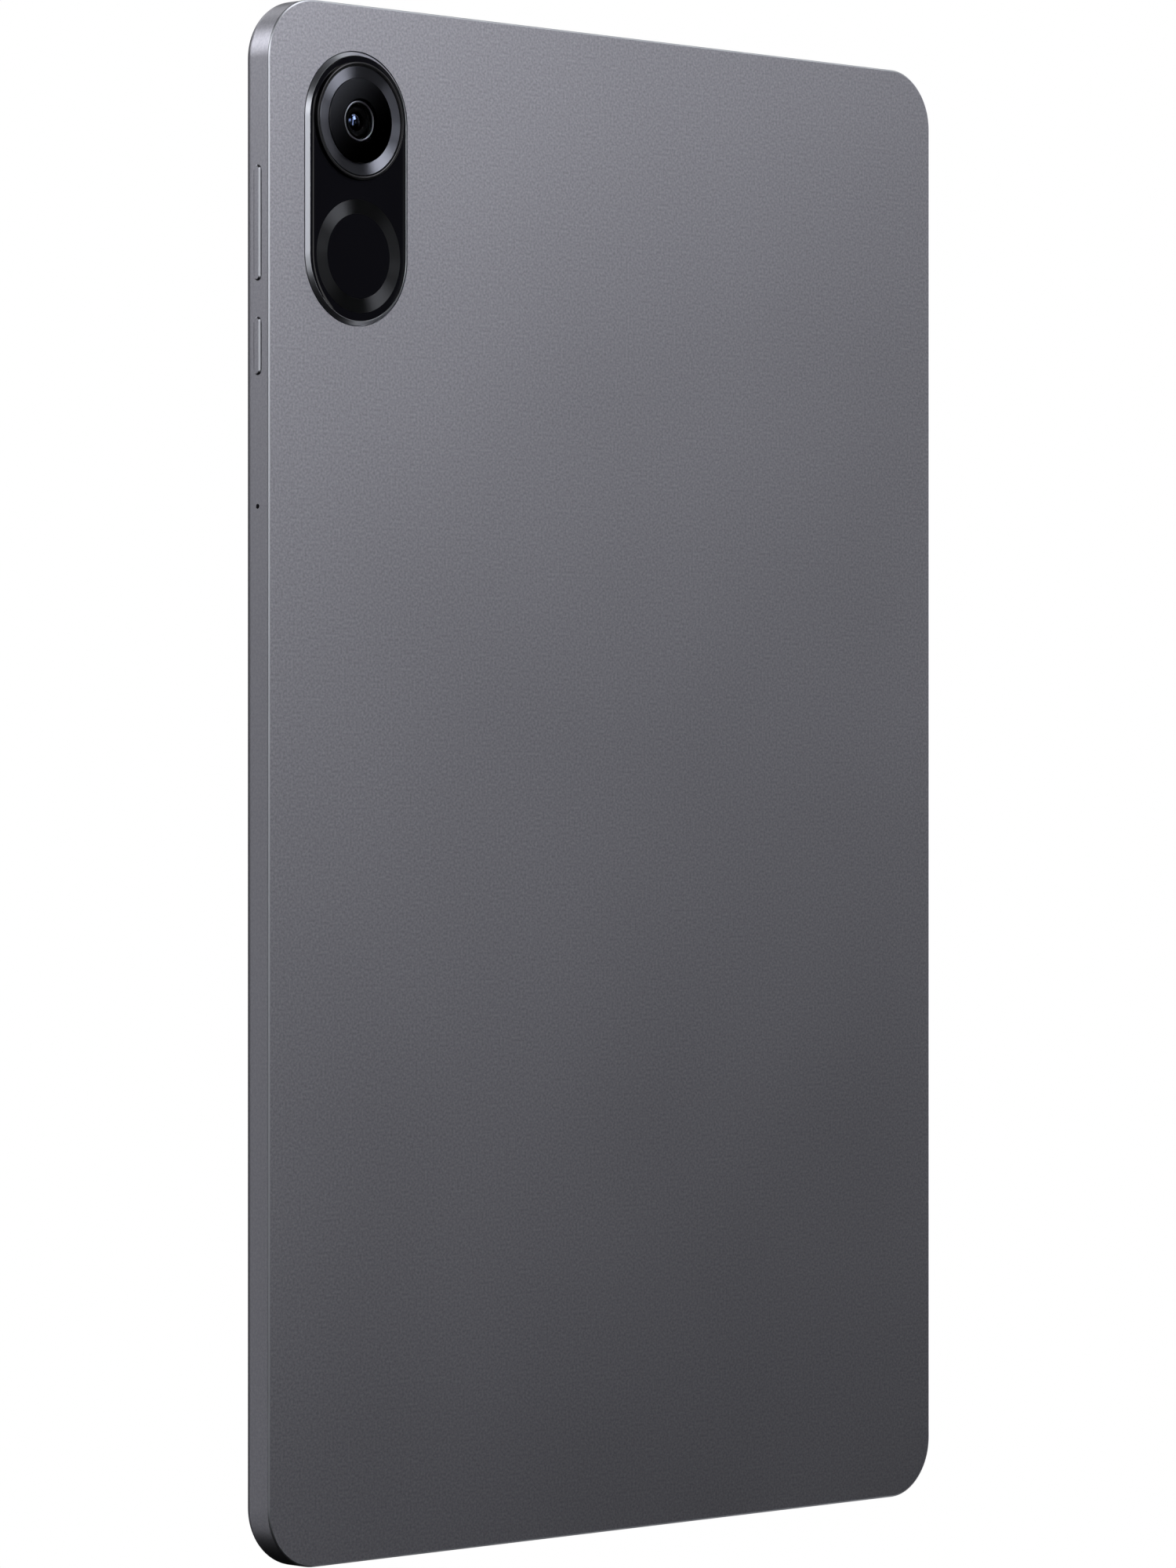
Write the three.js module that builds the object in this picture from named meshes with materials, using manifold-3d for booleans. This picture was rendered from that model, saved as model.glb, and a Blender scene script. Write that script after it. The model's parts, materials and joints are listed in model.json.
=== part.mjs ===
// A slim tablet computer, standing upright: an aluminium tray closed by its screen, with a pill-shaped
// camera island on the back and a volume rocker and a power key in the left long side.
//
// Units are millimetres and +Z is up. The flat back lies on the plane y = 0 and faces -y, the screen
// faces +y, and x is to the right for somebody who looks at the back. The origin is the middle of the back.

import * as THREE from "three";
import { mergeVertices } from "three/addons/utils/BufferGeometryUtils.js";
import Module from "manifold-3d";

// ---------------------------------------------------------------------------------- driving dimensions

const BODY = {
  width: 167.4,
  height: 267.4,
  depth: 6.77,
  corner: 10.5,
  chamfer: 0.25, // polished edge round the back
  edgeRadius: 2.4, // round edge towards the screen
  wall: 1.5,
  backWall: 0.9,
  lipInset: 1.2, // where the aluminium ends on the round edge
};
const SIDE_TOP = BODY.depth - BODY.edgeRadius; // where the flat side turns into the round edge
const GAP = 0.05; // between pieces that are glued or laid on each other
const SIDE_MIDDLE = 2.79; // depth of the line that keys, holes and socket share

const RIM = {
  inset: BODY.wall + GAP,
  crownInset: 1.95, // a step on its round edge
  glassInset: 2.5,
  windowInset: 6.5,
  windowCorner: 1.5,
  back: 4.45,
  shelf: 5.85,
};
const GLASS = { inset: RIM.glassInset + GAP, back: 6.05, front: 6.75, bevel: 0.12 };
const ADHESIVE = { outer: 2.8, inner: 6.2, innerCorner: 1.8, back: 5.9, front: 6.0 };
const LCD = { inset: 6.8, corner: 1.2, trayBack: 3.95, trayFront: 5.2, cellBack: 5.25, cellFront: 5.95 };
const DRIVER_BOARD = { x: [77.4, 81.8], y: [2.6, 3.4], z: [-62, 62] };

const ISLAND = {
  x: -63.5,
  upperZ: 113.7,
  lowerZ: 90.5,
  radius: 11.85,
  chamfer: 0.6,
  height: 0.6, // how far it stands out of the back
  clearance: 0.2,
  plateRadius: 11.1,
  plateSeat: 0.1,
  pocketRadius: 10.4,
  floor: 0.5,
  flangeRadius: 12.9,
  flange: [0.95, 1.3],
};
const TURRET = { radius: 10.1, wall: 0.68, top: -1.25, bevel: 0.13, floor: [0.3, 0.85], throat: 3.8 };
const TRIM = {
  outer: 9.36,
  inner: 7.32,
  outerTop: -1.12,
  innerTop: -1.0,
  ledge: 6.7, // inner radius of the shelf that carries the mask and the lens glass
  ledgeTop: -0.4,
  bottom: 0.25,
};
const LENS_GLASS = { radius: 7.26, top: -1.21, bottom: -0.66 };
const MASK = { outer: 7.2, inner: 3.58, top: -0.6, bottom: -0.46 };
const BRIGHT_RING = { outer: 3.5, inner: 2.7, top: -0.6, bottom: -0.25 };
const LOWER_RING = { outer: 9.77, inner: 7.29, top: 0.07, bottom: 0.32 };
const BARREL = {
  front: -0.05,
  funnel: 0.35, // depth of the flared mouth
  mouth: 2.25,
  bore: 1.7,
  nose: 2.5,
  shoulder: 0.6,
  body: 3.1,
  back: 2.3,
};
const FRONT_LENS = { front: 0.4, back: 0.95, bulge: 0.25 };
const REAR_LENS = { front: 1.4, back: 1.8, bulge: 0.15 };
const CAMERA_GASKET = { outer: 4.6, inner: 4.0, front: 0.9, back: 1.15 };
const CAMERA_CASE = { side: 9.4, corner: 0.6, back: 2.9, front: 1.2, bore: 3.35 };
const SENSOR_BOARD = { side: 10.4, front: 2.95, back: 3.75 };
const SENSOR = { width: 4, height: 3, front: 2.6 };

const KEY = {
  slotWidth: 1.96,
  width: 1.6,
  proud: 0.32,
  bevel: 0.26,
  endGap: 0.2,
  flangeWidth: 2.6,
  flangeReach: 0.9, // how far the flange runs past each end of the key
  flangeFront: 81.9, // distances from the middle plane x = 0
  flangeBack: 81.5,
  plungerTip: 81.2,
  plungerRadius: 0.6,
};
const VOLUME = { z: 95.2, slot: 19.36, plungers: [-5.6, 5.6] };
const POWER = { z: 74.28, slot: 9.58, plungers: [0] };
const DOME = { top: 80.85, base: 80.4, radius: 1.3, crown: 0.5 };
const KEY_FLEX = { front: 80.35, back: 80.15, z: [68.5, 103.5], y: [1.6, 4.0] };
const KEY_BRACKET = { front: 80.1, back: 79.7, z: [66.5, 106.5], y: [1.05, 4.3] };

const MICROPHONE = {
  z: 47.03,
  hole: 0.42,
  gasket: [82.15, 81.85],
  gasketRadii: [1.2, 0.6],
  can: [81.8, 80.7],
  width: 2.4,
  length: 3.4,
  corner: 0.3,
};

const SPEAKER = { x: 34, width: 31, length: 13.3, gap: 0.5, y: [1.05, 3.85], corner: 1.4 };
const DISH = { width: 25, length: 9.3, corner: 4, depth: 0.5 };
const GRILLE = { slots: 5, slot: 3.6, slotWidth: 1.1, pitch: 5, mesh: 0.3, meshWidth: 2.3 };

const SOCKET = {
  opening: [9.1, 3.3], // mouth in the lower short side
  shell: [8.94, 3.2],
  bore: [8.34, 2.6],
  tongue: [6.7, 0.7],
  tongueCorner: 0.25,
  mouth: 133.5,
  end: 127.0,
  back: 127.4, // where the inside of the shell ends
  tongueTip: 132.6,
};

const CELL = { width: 74, height: 122, split: 4, y: [1.1, 3.8], corner: 2, bevel: 0.4 };
const PROTECTION_BOARD = { x: [-32, 32], y: [1.6, 2.4], z: [62.5, 68.5] };
const BOARD = { y: [1.9, 2.7] };
const MAIN_BOARD_EDGE = [[-49, 74], [49, 74], [49, 115], [-40, 115], [-40, 104], [-49, 104]];
const CAN = { wall: 0.2, top: 3.8 };
const CANS = {
  processor_shield: { x: [-28, 4], z: [80, 110] },
  power_shield: { x: [8, 38], z: [80, 93] },
  radio_shield: { x: [8, 38], z: [97, 110] },
};
const USB_BOARD = { x: [-17, 17], z: [-125.6, -103.5] };
const LINK = {
  x: [-1.5, 1.5],
  y: [1.1, 1.3],
  z: [-112, 82],
  plugX: [-4, 4],
  plugY: [1.15, 1.8],
  plugZ: [[-113, -108], [78, 83]],
};
const ANTENNA = { x: [77.5, 81.8], y: [4.1, 4.35], upper: [70, 110], lower: [-110, -70] };
const SCREW = { head: 1.3, headEdge: 3.05, headTop: 3.25, crown: 0.8, shank: 0.65, tip: 1.05 };
const BOSS = { radius: 2, root: 0.5, hole: 0.8, boardHole: 0.85 };
const MAIN_SCREWS = [[-45, 78], [45, 78], [45, 111], [-36, 111]];
const SOCKET_SCREWS = [[-13, -107], [13, -107]];
const FRONT_CAMERA = {
  x: -79.6,
  z: 0,
  radius: 2.3,
  hole: 2.6, // in the rim and its adhesive
  front: 5.75,
  neck: 3.2,
  back: 1.4,
  base: [5.2, 6.2],
  bore: 1.3,
  boreFloor: 4.85,
};
// The front camera's domed lens as radius and depth.
const FRONT_LENS_DOME = [[0, 4.95], [1.2, 4.95], [1.2, 5.15], [0.7, 5.4], [0, 5.5]];
const LIGHT_SENSOR = { x: -79.6, z: 9, size: [2.4, 2.0], hole: [2.8, 2.4], y: [4.9, 5.7] };

// Steps on each half of a quarter turn of a rounded outline, and round a whole turned piece.
const CORNER_STEPS = 5;
const SLOT_STEPS = 2;
const ROUND_SEGMENTS = 40;
const SMALL_SEGMENTS = 20;
const PIN_SEGMENTS = 12;
const EDGE_STEPS = 4;
const PAST = 1; // how far a cutting tool runs past the face that it cuts

// --------------------------------------------------------------------------------------------- finishes

const finish = (color, roughness, metalness = 0) => (
  new THREE.MeshStandardMaterial({ color, roughness, metalness })
);
const FINISH = {
  aluminium: finish(0x6c6c74, 0.45, 0.9),
  polished: finish(0xb9b9c0, 0.15, 1),
  glass: finish(0x050508, 0.05),
  blackMetal: finish(0x1a1a1e, 0.3, 0.9),
  blackPlastic: finish(0x101012, 0.6),
  steel: finish(0xa8a8a8, 0.35, 1),
  board: finish(0x0d4a2c, 0.6),
  flex: finish(0xa86018, 0.5),
  cell: finish(0x2c2c30, 0.5),
  foam: finish(0x222222, 0.9),
  lens: finish(0x1c2c50, 0.05),
};

// ----------------------------------------------------------------------------------------- shape helpers

const wasm = await Module();
wasm.setup();

const tablet = new THREE.Group();

/** Adds one named piece to the tablet. */
function addPiece(name, geometry, material) {
  const mesh = new THREE.Mesh(closed(geometry), material);
  mesh.name = name;
  tablet.add(mesh);
}

/** The same surface with shared vertices, no empty triangles and its faces pointing out. */
function closed(geometry) {
  const bare = new THREE.BufferGeometry();
  bare.setAttribute("position", geometry.getAttribute("position"));
  bare.setIndex(geometry.getIndex());
  const welded = mergeVertices(bare, 1e-5);
  const corners = welded.getIndex().array;
  const position = welded.getAttribute("position");
  const [a, b, c] = [new THREE.Vector3(), new THREE.Vector3(), new THREE.Vector3()];
  const kept = [];
  let volume = 0;
  for (let i = 0; i < corners.length; i += 3) {
    const triangle = [corners[i], corners[i + 1], corners[i + 2]];
    if (new Set(triangle).size === 3) {
      [a, b, c].forEach((point, k) => point.fromBufferAttribute(position, triangle[k]));
      volume += a.dot(b.cross(c));
      kept.push(...triangle);
    }
  }
  if (volume < 0) kept.reverse();
  welded.setIndex(kept);
  return welded;
}

/** A closed surface as a solid that can be joined and cut. */
function solid(geometry) {
  const surface = closed(geometry);
  const vertProperties = new Float32Array(surface.getAttribute("position").array);
  const triVerts = new Uint32Array(surface.getIndex().array);
  return new wasm.Manifold(new wasm.Mesh({ numProp: 3, vertProperties, triVerts }));
}

/** A body with tools cut from it and other bodies joined to it. */
function carve(body, { cuts = [], joins = [] }) {
  let result = solid(body);
  joins.forEach((join) => { result = result.add(solid(join)); });
  cuts.forEach((cut) => { result = result.subtract(solid(cut)); });
  const { vertProperties, triVerts } = result.getMesh();
  const geometry = new THREE.BufferGeometry();
  geometry.setAttribute("position", new THREE.BufferAttribute(new Float32Array(vertProperties), 3));
  geometry.setIndex(new THREE.BufferAttribute(new Uint32Array(triVerts), 1));
  return geometry;
}

/** A rounded rectangle about the middle; a radius of half its width makes it a pill or a circle. */
function roundedRectangle(width, height, radius) {
  const [x, z] = [width / 2 - radius, height / 2 - radius];
  const quarter = Math.PI / 2;
  const shape = new THREE.Shape();
  [[x, z], [-x, z], [-x, -z], [x, -z]].forEach(([centreX, centreZ], corner) => {
    shape.absarc(centreX, centreZ, radius, corner * quarter, (corner + 1) * quarter);
  });
  return shape;
}

/**
 * A slab with a rounded outline whose edge steps in and out through its depth.
 * outline: width, height and radius, with x and z of its middle.
 * levels: [y, inset] from one face to the other.
 */
function slab(outline, levels, curveSegments = CORNER_STEPS) {
  const { width, height, radius, x = 0, z = 0 } = outline;
  const steps = levels.length - 1;
  const settings = { depth: steps, steps, bevelEnabled: false, curveSegments };
  const geometry = new THREE.ExtrudeGeometry(roundedRectangle(width, height, radius), settings);
  const position = geometry.getAttribute("position");
  const [coreX, coreZ] = [width / 2 - radius, height / 2 - radius];
  for (let i = 0; i < position.count; i += 1) {
    const [y, inset] = levels[Math.round(position.getZ(i))];
    const [u, v] = [position.getX(i), position.getY(i)];
    const nearU = THREE.MathUtils.clamp(u, -coreX, coreX);
    const nearV = THREE.MathUtils.clamp(v, -coreZ, coreZ);
    const share = 1 - inset / radius;
    position.setXYZ(i, x + nearU + (u - nearU) * share, y, z + nearV + (v - nearV) * share);
  }
  return geometry;
}

/** The body's outline, or one that runs parallel to it further in. */
function bodyOutline(inset, radius = BODY.corner - inset) {
  return { width: BODY.width - 2 * inset, height: BODY.height - 2 * inset, radius };
}

/** A straight slab between two depths. */
const plate = (outline, back, front, steps) => slab(outline, [[back, 0], [front, 0]], steps);

/** A plain box between two corners. */
function block([x0, x1], [y0, y1], [z0, z1]) {
  const geometry = new THREE.BoxGeometry(x1 - x0, y1 - y0, z1 - z0);
  return geometry.translate((x0 + x1) / 2, (y0 + y1) / 2, (z0 + z1) / 2);
}

/** A turned piece about an axis along y. profile: [radius, y] all the way round its section. */
function turned(profile, x, z, segments = ROUND_SEGMENTS) {
  const points = profile.map(([radius, y]) => new THREE.Vector2(radius, y));
  const startsOnAxis = profile[0][0] === 0;
  if (!startsOnAxis) points.push(points[0].clone());
  return new THREE.LatheGeometry(points, segments).translate(x, 0, z);
}

/** A turned ring with a plain rectangular section. */
function ring(outer, inner, top, bottom, x, z, segments) {
  return turned([[inner, top], [outer, top], [outer, bottom], [inner, bottom]], x, z, segments);
}

/** A turned disc or pin. */
function disc(radius, top, bottom, x, z, segments) {
  return turned([[0, top], [radius, top], [radius, bottom], [0, bottom]], x, z, segments);
}

/** Turns a piece drawn on the plane y = 0 so that its +y points out of the left long side. */
const onLeftSide = (geometry) => geometry.rotateZ(Math.PI / 2);

/** Turns a piece drawn on the plane y = 0 so that its +y points out of the upper or lower short side. */
const onShortSide = (geometry, end) => geometry.rotateX(end * Math.PI / 2);

/** A round-ended outline about the socket's middle, drawn for the lower short side. */
const socketOutline = ([width, height]) => ({ width, height, radius: height / 2, z: SIDE_MIDDLE });

/** Height of the round front edge at a distance in from the side. */
function edgeHeight(inset) {
  const reach = BODY.edgeRadius - inset;
  return SIDE_TOP + Math.sqrt(BODY.edgeRadius ** 2 - reach ** 2);
}

// ------------------------------------------------------------------------------------------ the housing

/** The five slots of one speaker grille; end is 1 for the upper short side and -1 for the lower. */
function grilleSlots(x, end) {
  return Array.from({ length: GRILLE.slots }, (_, i) => {
    const offset = (i - (GRILLE.slots - 1) / 2) * GRILLE.pitch;
    const outline = {
      width: GRILLE.slot,
      height: GRILLE.slotWidth,
      radius: GRILLE.slotWidth / 2,
      x: x + offset,
      z: -end * SIDE_MIDDLE,
    };
    const inside = BODY.height / 2 - BODY.wall - PAST;
    return onShortSide(plate(outline, inside, BODY.height / 2 + PAST, SLOT_STEPS), end);
  });
}

/** A round-ended slot through the left side. */
function sideSlot(z, length, width) {
  const outline = { width, height: length, radius: width / 2, x: SIDE_MIDDLE, z };
  return onLeftSide(plate(outline, BODY.width / 2 - BODY.wall - PAST, BODY.width / 2 + PAST, SLOT_STEPS));
}

function housing() {
  const levels = [[0, BODY.chamfer], [BODY.chamfer, 0], [SIDE_TOP, 0]];
  const lipAngle = Math.acos(1 - BODY.lipInset / BODY.edgeRadius);
  for (let i = 1; i <= EDGE_STEPS; i += 1) {
    const angle = (lipAngle * i) / EDGE_STEPS;
    const inset = BODY.edgeRadius * (1 - Math.cos(angle));
    levels.push([SIDE_TOP + BODY.edgeRadius * Math.sin(angle), inset]);
  }
  const pocket = plate(bodyOutline(BODY.wall), BODY.backWall, BODY.depth + PAST);
  const screws = [...MAIN_SCREWS, ...SOCKET_SCREWS];
  const bossTop = BOARD.y[0] - GAP;
  const bosses = screws.map(([x, z]) => disc(BOSS.radius, BOSS.root, bossTop, x, z, SMALL_SEGMENTS));
  const holes = screws.map(([x, z]) => disc(BOSS.hole, SCREW.tip - GAP, bossTop + PAST, x, z, PIN_SEGMENTS));
  const tray = carve(slab(bodyOutline(0), levels), { cuts: [pocket] });
  const end = BODY.height / 2;
  const socketCut = plate(socketOutline(SOCKET.opening), end - BODY.wall - PAST, end + PAST, SLOT_STEPS);
  const corners = [[-1, 1], [1, 1], [-1, -1], [1, -1]];
  const grilles = corners.flatMap(([side, shortSide]) => grilleSlots(side * SPEAKER.x, shortSide));
  const cuts = [
    ...holes,
    ...grilles,
    plate(pill(ISLAND.radius + ISLAND.clearance), -PAST, BODY.backWall + PAST),
    sideSlot(VOLUME.z, VOLUME.slot, KEY.slotWidth),
    sideSlot(POWER.z, POWER.slot, KEY.slotWidth),
    sideSlot(MICROPHONE.z, 2 * MICROPHONE.hole, 2 * MICROPHONE.hole),
    onShortSide(socketCut, -1),
  ];
  addPiece("rear_housing", carve(tray, { joins: bosses, cuts }), FINISH.aluminium);
}

// ------------------------------------------------------------------------------------------- the display

function display() {
  const rimLevels = [[RIM.back, 0], [edgeHeight(RIM.inset), 0]];
  [RIM.crownInset, BODY.edgeRadius].forEach((inset) => rimLevels.push([edgeHeight(inset), inset - RIM.inset]));
  const window = plate(bodyOutline(RIM.windowInset, RIM.windowCorner), RIM.back - PAST, BODY.depth + PAST);
  const recess = plate(bodyOutline(RIM.glassInset), RIM.shelf, BODY.depth + PAST);
  const { x, z, hole } = FRONT_CAMERA;
  const cameraHole = disc(hole, RIM.back - PAST, BODY.depth + PAST, x, z, SMALL_SEGMENTS);
  const [sensorX, sensorZ] = LIGHT_SENSOR.hole.map((size) => size / 2);
  const sensorHole = block(
    [LIGHT_SENSOR.x - sensorX, LIGHT_SENSOR.x + sensorX],
    [RIM.back - PAST, BODY.depth + PAST],
    [LIGHT_SENSOR.z - sensorZ, LIGHT_SENSOR.z + sensorZ],
  );
  const cuts = [window, recess, cameraHole, sensorHole];
  addPiece("display_frame", carve(slab(bodyOutline(RIM.inset), rimLevels), { cuts }), FINISH.blackPlastic);

  const tape = plate(bodyOutline(ADHESIVE.outer), ADHESIVE.back, ADHESIVE.front);
  const tapeWindow = plate(bodyOutline(ADHESIVE.inner, ADHESIVE.innerCorner), RIM.back, BODY.depth);
  addPiece("display_adhesive", carve(tape, { cuts: [tapeWindow, cameraHole, sensorHole] }), FINISH.foam);

  const glassLevels = [[GLASS.back, 0], [GLASS.front - GLASS.bevel, 0], [GLASS.front, GLASS.bevel]];
  addPiece("cover_glass", slab(bodyOutline(GLASS.inset), glassLevels), FINISH.glass);
  const panel = bodyOutline(LCD.inset, LCD.corner);
  addPiece("lcd_panel", plate(panel, LCD.cellBack, LCD.cellFront, SLOT_STEPS), FINISH.glass);
  addPiece("backlight_unit", plate(panel, LCD.trayBack, LCD.trayFront, SLOT_STEPS), FINISH.steel);
  addPiece("lcd_driver_board", block(DRIVER_BOARD.x, DRIVER_BOARD.y, DRIVER_BOARD.z), FINISH.board);
}

// ------------------------------------------------------------------------------------ the camera island

/** A pill outline about the island's middle line. */
function pill(radius) {
  const height = ISLAND.upperZ - ISLAND.lowerZ + 2 * radius;
  return { width: 2 * radius, height, radius, x: ISLAND.x, z: (ISLAND.upperZ + ISLAND.lowerZ) / 2 };
}

function cameraIsland() {
  const { x, upperZ, lowerZ } = ISLAND;
  const levels = [[-ISLAND.height, ISLAND.chamfer], [0, 0], [ISLAND.flange[1], 0]];
  const bezel = carve(slab(pill(ISLAND.radius), levels), {
    joins: [plate(pill(ISLAND.flangeRadius), ...ISLAND.flange)],
    cuts: [
      plate(pill(ISLAND.plateRadius + 2 * GAP), -PAST, ISLAND.plateSeat),
      plate(pill(ISLAND.pocketRadius), -PAST, ISLAND.floor),
      disc(ISLAND.pocketRadius, -PAST, ISLAND.flange[1] + PAST, x, upperZ),
    ],
  });
  addPiece("camera_bezel", bezel, FINISH.polished);

  const cover = plate(pill(ISLAND.plateRadius), -ISLAND.height, ISLAND.plateSeat - GAP);
  const turretHole = disc(TURRET.radius + 2 * GAP, -PAST, PAST, x, upperZ);
  addPiece("camera_cover_plate", carve(cover, { cuts: [turretHole] }), FINISH.glass);

  const { outer, inner, top, bottom } = LOWER_RING;
  addPiece("lower_trim_ring", ring(outer, inner, top, bottom, x, lowerZ), FINISH.blackMetal);
}

function lensTurret() {
  const { x, upperZ } = ISLAND;
  const { radius, wall, top, bevel, floor, throat } = TURRET;
  const cup = [
    [throat, floor[0]],
    [radius - wall, floor[0]],
    [radius - wall, top + bevel],
    [radius - wall + bevel, top],
    [radius - bevel, top],
    [radius, top + bevel],
    [radius, floor[1]],
    [throat, floor[1]],
  ];
  addPiece("lens_turret", turned(cup, x, upperZ), FINISH.blackMetal);

  const trim = [
    [TRIM.inner, TRIM.innerTop],
    [TRIM.outer, TRIM.outerTop],
    [TRIM.outer, TRIM.bottom],
    [TRIM.ledge, TRIM.bottom],
    [TRIM.ledge, TRIM.ledgeTop],
    [TRIM.inner, TRIM.ledgeTop],
  ];
  addPiece("lens_trim_ring", turned(trim, x, upperZ), FINISH.blackMetal);
  const cover = disc(LENS_GLASS.radius, LENS_GLASS.top, LENS_GLASS.bottom, x, upperZ);
  addPiece("lens_cover_glass", cover, FINISH.glass);
  addPiece("lens_mask", ring(MASK.outer, MASK.inner, MASK.top, MASK.bottom, x, upperZ), FINISH.blackPlastic);
  const { outer, inner, top: brightTop, bottom } = BRIGHT_RING;
  addPiece("lens_bright_ring", ring(outer, inner, brightTop, bottom, x, upperZ), FINISH.polished);
}

// -------------------------------------------------------------------------------------- the rear camera

function rearCamera() {
  const { x, upperZ } = ISLAND;
  const square = (side) => ({ width: side, height: side, radius: CAMERA_CASE.corner, x, z: upperZ });
  const can = plate(square(CAMERA_CASE.side), CAMERA_CASE.front, CAMERA_CASE.back, SLOT_STEPS);
  const bore = disc(CAMERA_CASE.bore, 0, SENSOR_BOARD.back, x, upperZ, SMALL_SEGMENTS);
  addPiece("rear_camera_case", carve(can, { cuts: [bore] }), FINISH.steel);
  const { outer, inner, front: gasketFront, back: gasketBack } = CAMERA_GASKET;
  const gasket = ring(outer, inner, gasketFront, gasketBack, x, upperZ, SMALL_SEGMENTS);
  addPiece("rear_camera_gasket", gasket, FINISH.foam);

  const base = plate(square(SENSOR_BOARD.side), SENSOR_BOARD.front, SENSOR_BOARD.back, SLOT_STEPS);
  const sensor = block(
    [x - SENSOR.width / 2, x + SENSOR.width / 2],
    [SENSOR.front, SENSOR_BOARD.front + GAP],
    [upperZ - SENSOR.height / 2, upperZ + SENSOR.height / 2],
  );
  addPiece("rear_camera_sensor_board", carve(base, { joins: [sensor] }), FINISH.board);

  const { front, shoulder, back, nose, body, mouth } = BARREL;
  const tube = [
    [mouth, front],
    [nose, front],
    [nose, shoulder],
    [body, shoulder],
    [body, back],
    [BARREL.bore, back],
    [BARREL.bore, front + BARREL.funnel],
  ];
  addPiece("autofocus_barrel", turned(tube, x, upperZ, SMALL_SEGMENTS), FINISH.blackPlastic);
  addPiece("front_lens", lens(FRONT_LENS, x, upperZ), FINISH.lens);
  addPiece("rear_lens", lens(REAR_LENS, x, upperZ), FINISH.lens);
}

/** A round lens that bulges towards both faces. */
function lens({ front, back, bulge }, x, z) {
  const radius = BARREL.bore - GAP;
  const steps = 2;
  const profile = [];
  for (let i = 0; i <= steps; i += 1) {
    const share = i / steps;
    profile.push([radius * share, front - bulge * (1 - share ** 2)]);
  }
  for (let i = steps; i >= 0; i -= 1) {
    const share = i / steps;
    profile.push([radius * share, back + bulge * (1 - share ** 2)]);
  }
  return turned(profile, x, z, SMALL_SEGMENTS);
}

// ----------------------------------------------------------------------------------------------- the keys

/** One side key: a round-ended cap that stands out of its slot, with an inner flange and its plungers. */
function sideKey({ z, slot, plungers }) {
  const length = slot - 2 * KEY.endGap;
  const face = BODY.width / 2 + KEY.proud;
  const cap = { width: KEY.width, height: length, radius: KEY.width / 2, x: SIDE_MIDDLE, z };
  const flange = {
    width: KEY.flangeWidth,
    height: length + 2 * KEY.flangeReach,
    radius: KEY.flangeWidth / 2,
    x: SIDE_MIDDLE,
    z,
  };
  const capLevels = [[KEY.flangeBack, 0], [face - KEY.bevel, 0], [face, KEY.bevel]];
  const pins = plungers.map((offset) => (
    disc(KEY.plungerRadius, KEY.plungerTip, KEY.flangeFront, SIDE_MIDDLE, z + offset, PIN_SEGMENTS)
  ));
  const flangePlate = plate(flange, KEY.flangeBack, KEY.flangeFront, SLOT_STEPS);
  const key = carve(slab(cap, capLevels, SLOT_STEPS), { joins: [flangePlate, ...pins] });
  return onLeftSide(key);
}

/** A snap dome: the switch that a plunger presses, and the spring that returns the key. */
function snapDome(z) {
  const profile = [[0, DOME.top], [DOME.crown, DOME.top], [DOME.radius, DOME.base], [0, DOME.base]];
  return onLeftSide(turned(profile, SIDE_MIDDLE, z, PIN_SEGMENTS));
}

function keys() {
  addPiece("volume_key", sideKey(VOLUME), FINISH.aluminium);
  addPiece("power_key", sideKey(POWER), FINISH.aluminium);
  addPiece("volume_up_dome", snapDome(VOLUME.z + VOLUME.plungers[1]), FINISH.steel);
  addPiece("volume_down_dome", snapDome(VOLUME.z + VOLUME.plungers[0]), FINISH.steel);
  addPiece("power_dome", snapDome(POWER.z), FINISH.steel);
  const flex = block([-KEY_FLEX.front, -KEY_FLEX.back], KEY_FLEX.y, KEY_FLEX.z);
  addPiece("key_flex", flex, FINISH.flex);
  const bracket = block([-KEY_BRACKET.front, -KEY_BRACKET.back], KEY_BRACKET.y, KEY_BRACKET.z);
  addPiece("key_bracket", bracket, FINISH.steel);
}

// -------------------------------------------------------------------------------------- sound and socket

function microphone() {
  const { z, gasketRadii, gasket, can, width, length, corner } = MICROPHONE;
  const seal = ring(...gasketRadii, ...gasket, SIDE_MIDDLE, z, PIN_SEGMENTS);
  addPiece("side_microphone_gasket", onLeftSide(seal), FINISH.foam);
  const outline = { width, height: length, radius: corner, x: SIDE_MIDDLE, z };
  addPiece("side_microphone", onLeftSide(plate(outline, ...can, SLOT_STEPS)), FINISH.steel);
}

function speakers() {
  const corners = { top_left: [-1, 1], top_right: [1, 1], bottom_left: [-1, -1], bottom_right: [1, -1] };
  Object.entries(corners).forEach(([corner, [side, end]]) => {
    const wall = BODY.height / 2 - BODY.wall;
    const x = side * SPEAKER.x;
    const box = {
      width: SPEAKER.width,
      height: SPEAKER.length,
      radius: SPEAKER.corner,
      x,
      z: end * (wall - SPEAKER.gap - SPEAKER.length / 2),
    };
    const dish = { width: DISH.width, height: DISH.length, radius: DISH.corner, x, z: box.z };
    const cone = plate(dish, SPEAKER.y[1] - DISH.depth, BODY.depth, SLOT_STEPS);
    const driver = carve(plate(box, ...SPEAKER.y, SLOT_STEPS), { cuts: [cone] });
    addPiece(`speaker_${corner}`, driver, FINISH.blackPlastic);

    const meshOutline = {
      width: GRILLE.pitch * GRILLE.slots,
      height: GRILLE.meshWidth,
      radius: GRILLE.meshWidth / 2,
      x,
      z: -end * SIDE_MIDDLE,
    };
    const mesh = onShortSide(plate(meshOutline, wall - GAP - GRILLE.mesh, wall - GAP, SLOT_STEPS), end);
    addPiece(`speaker_mesh_${corner}`, mesh, FINISH.foam);
  });
}

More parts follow.
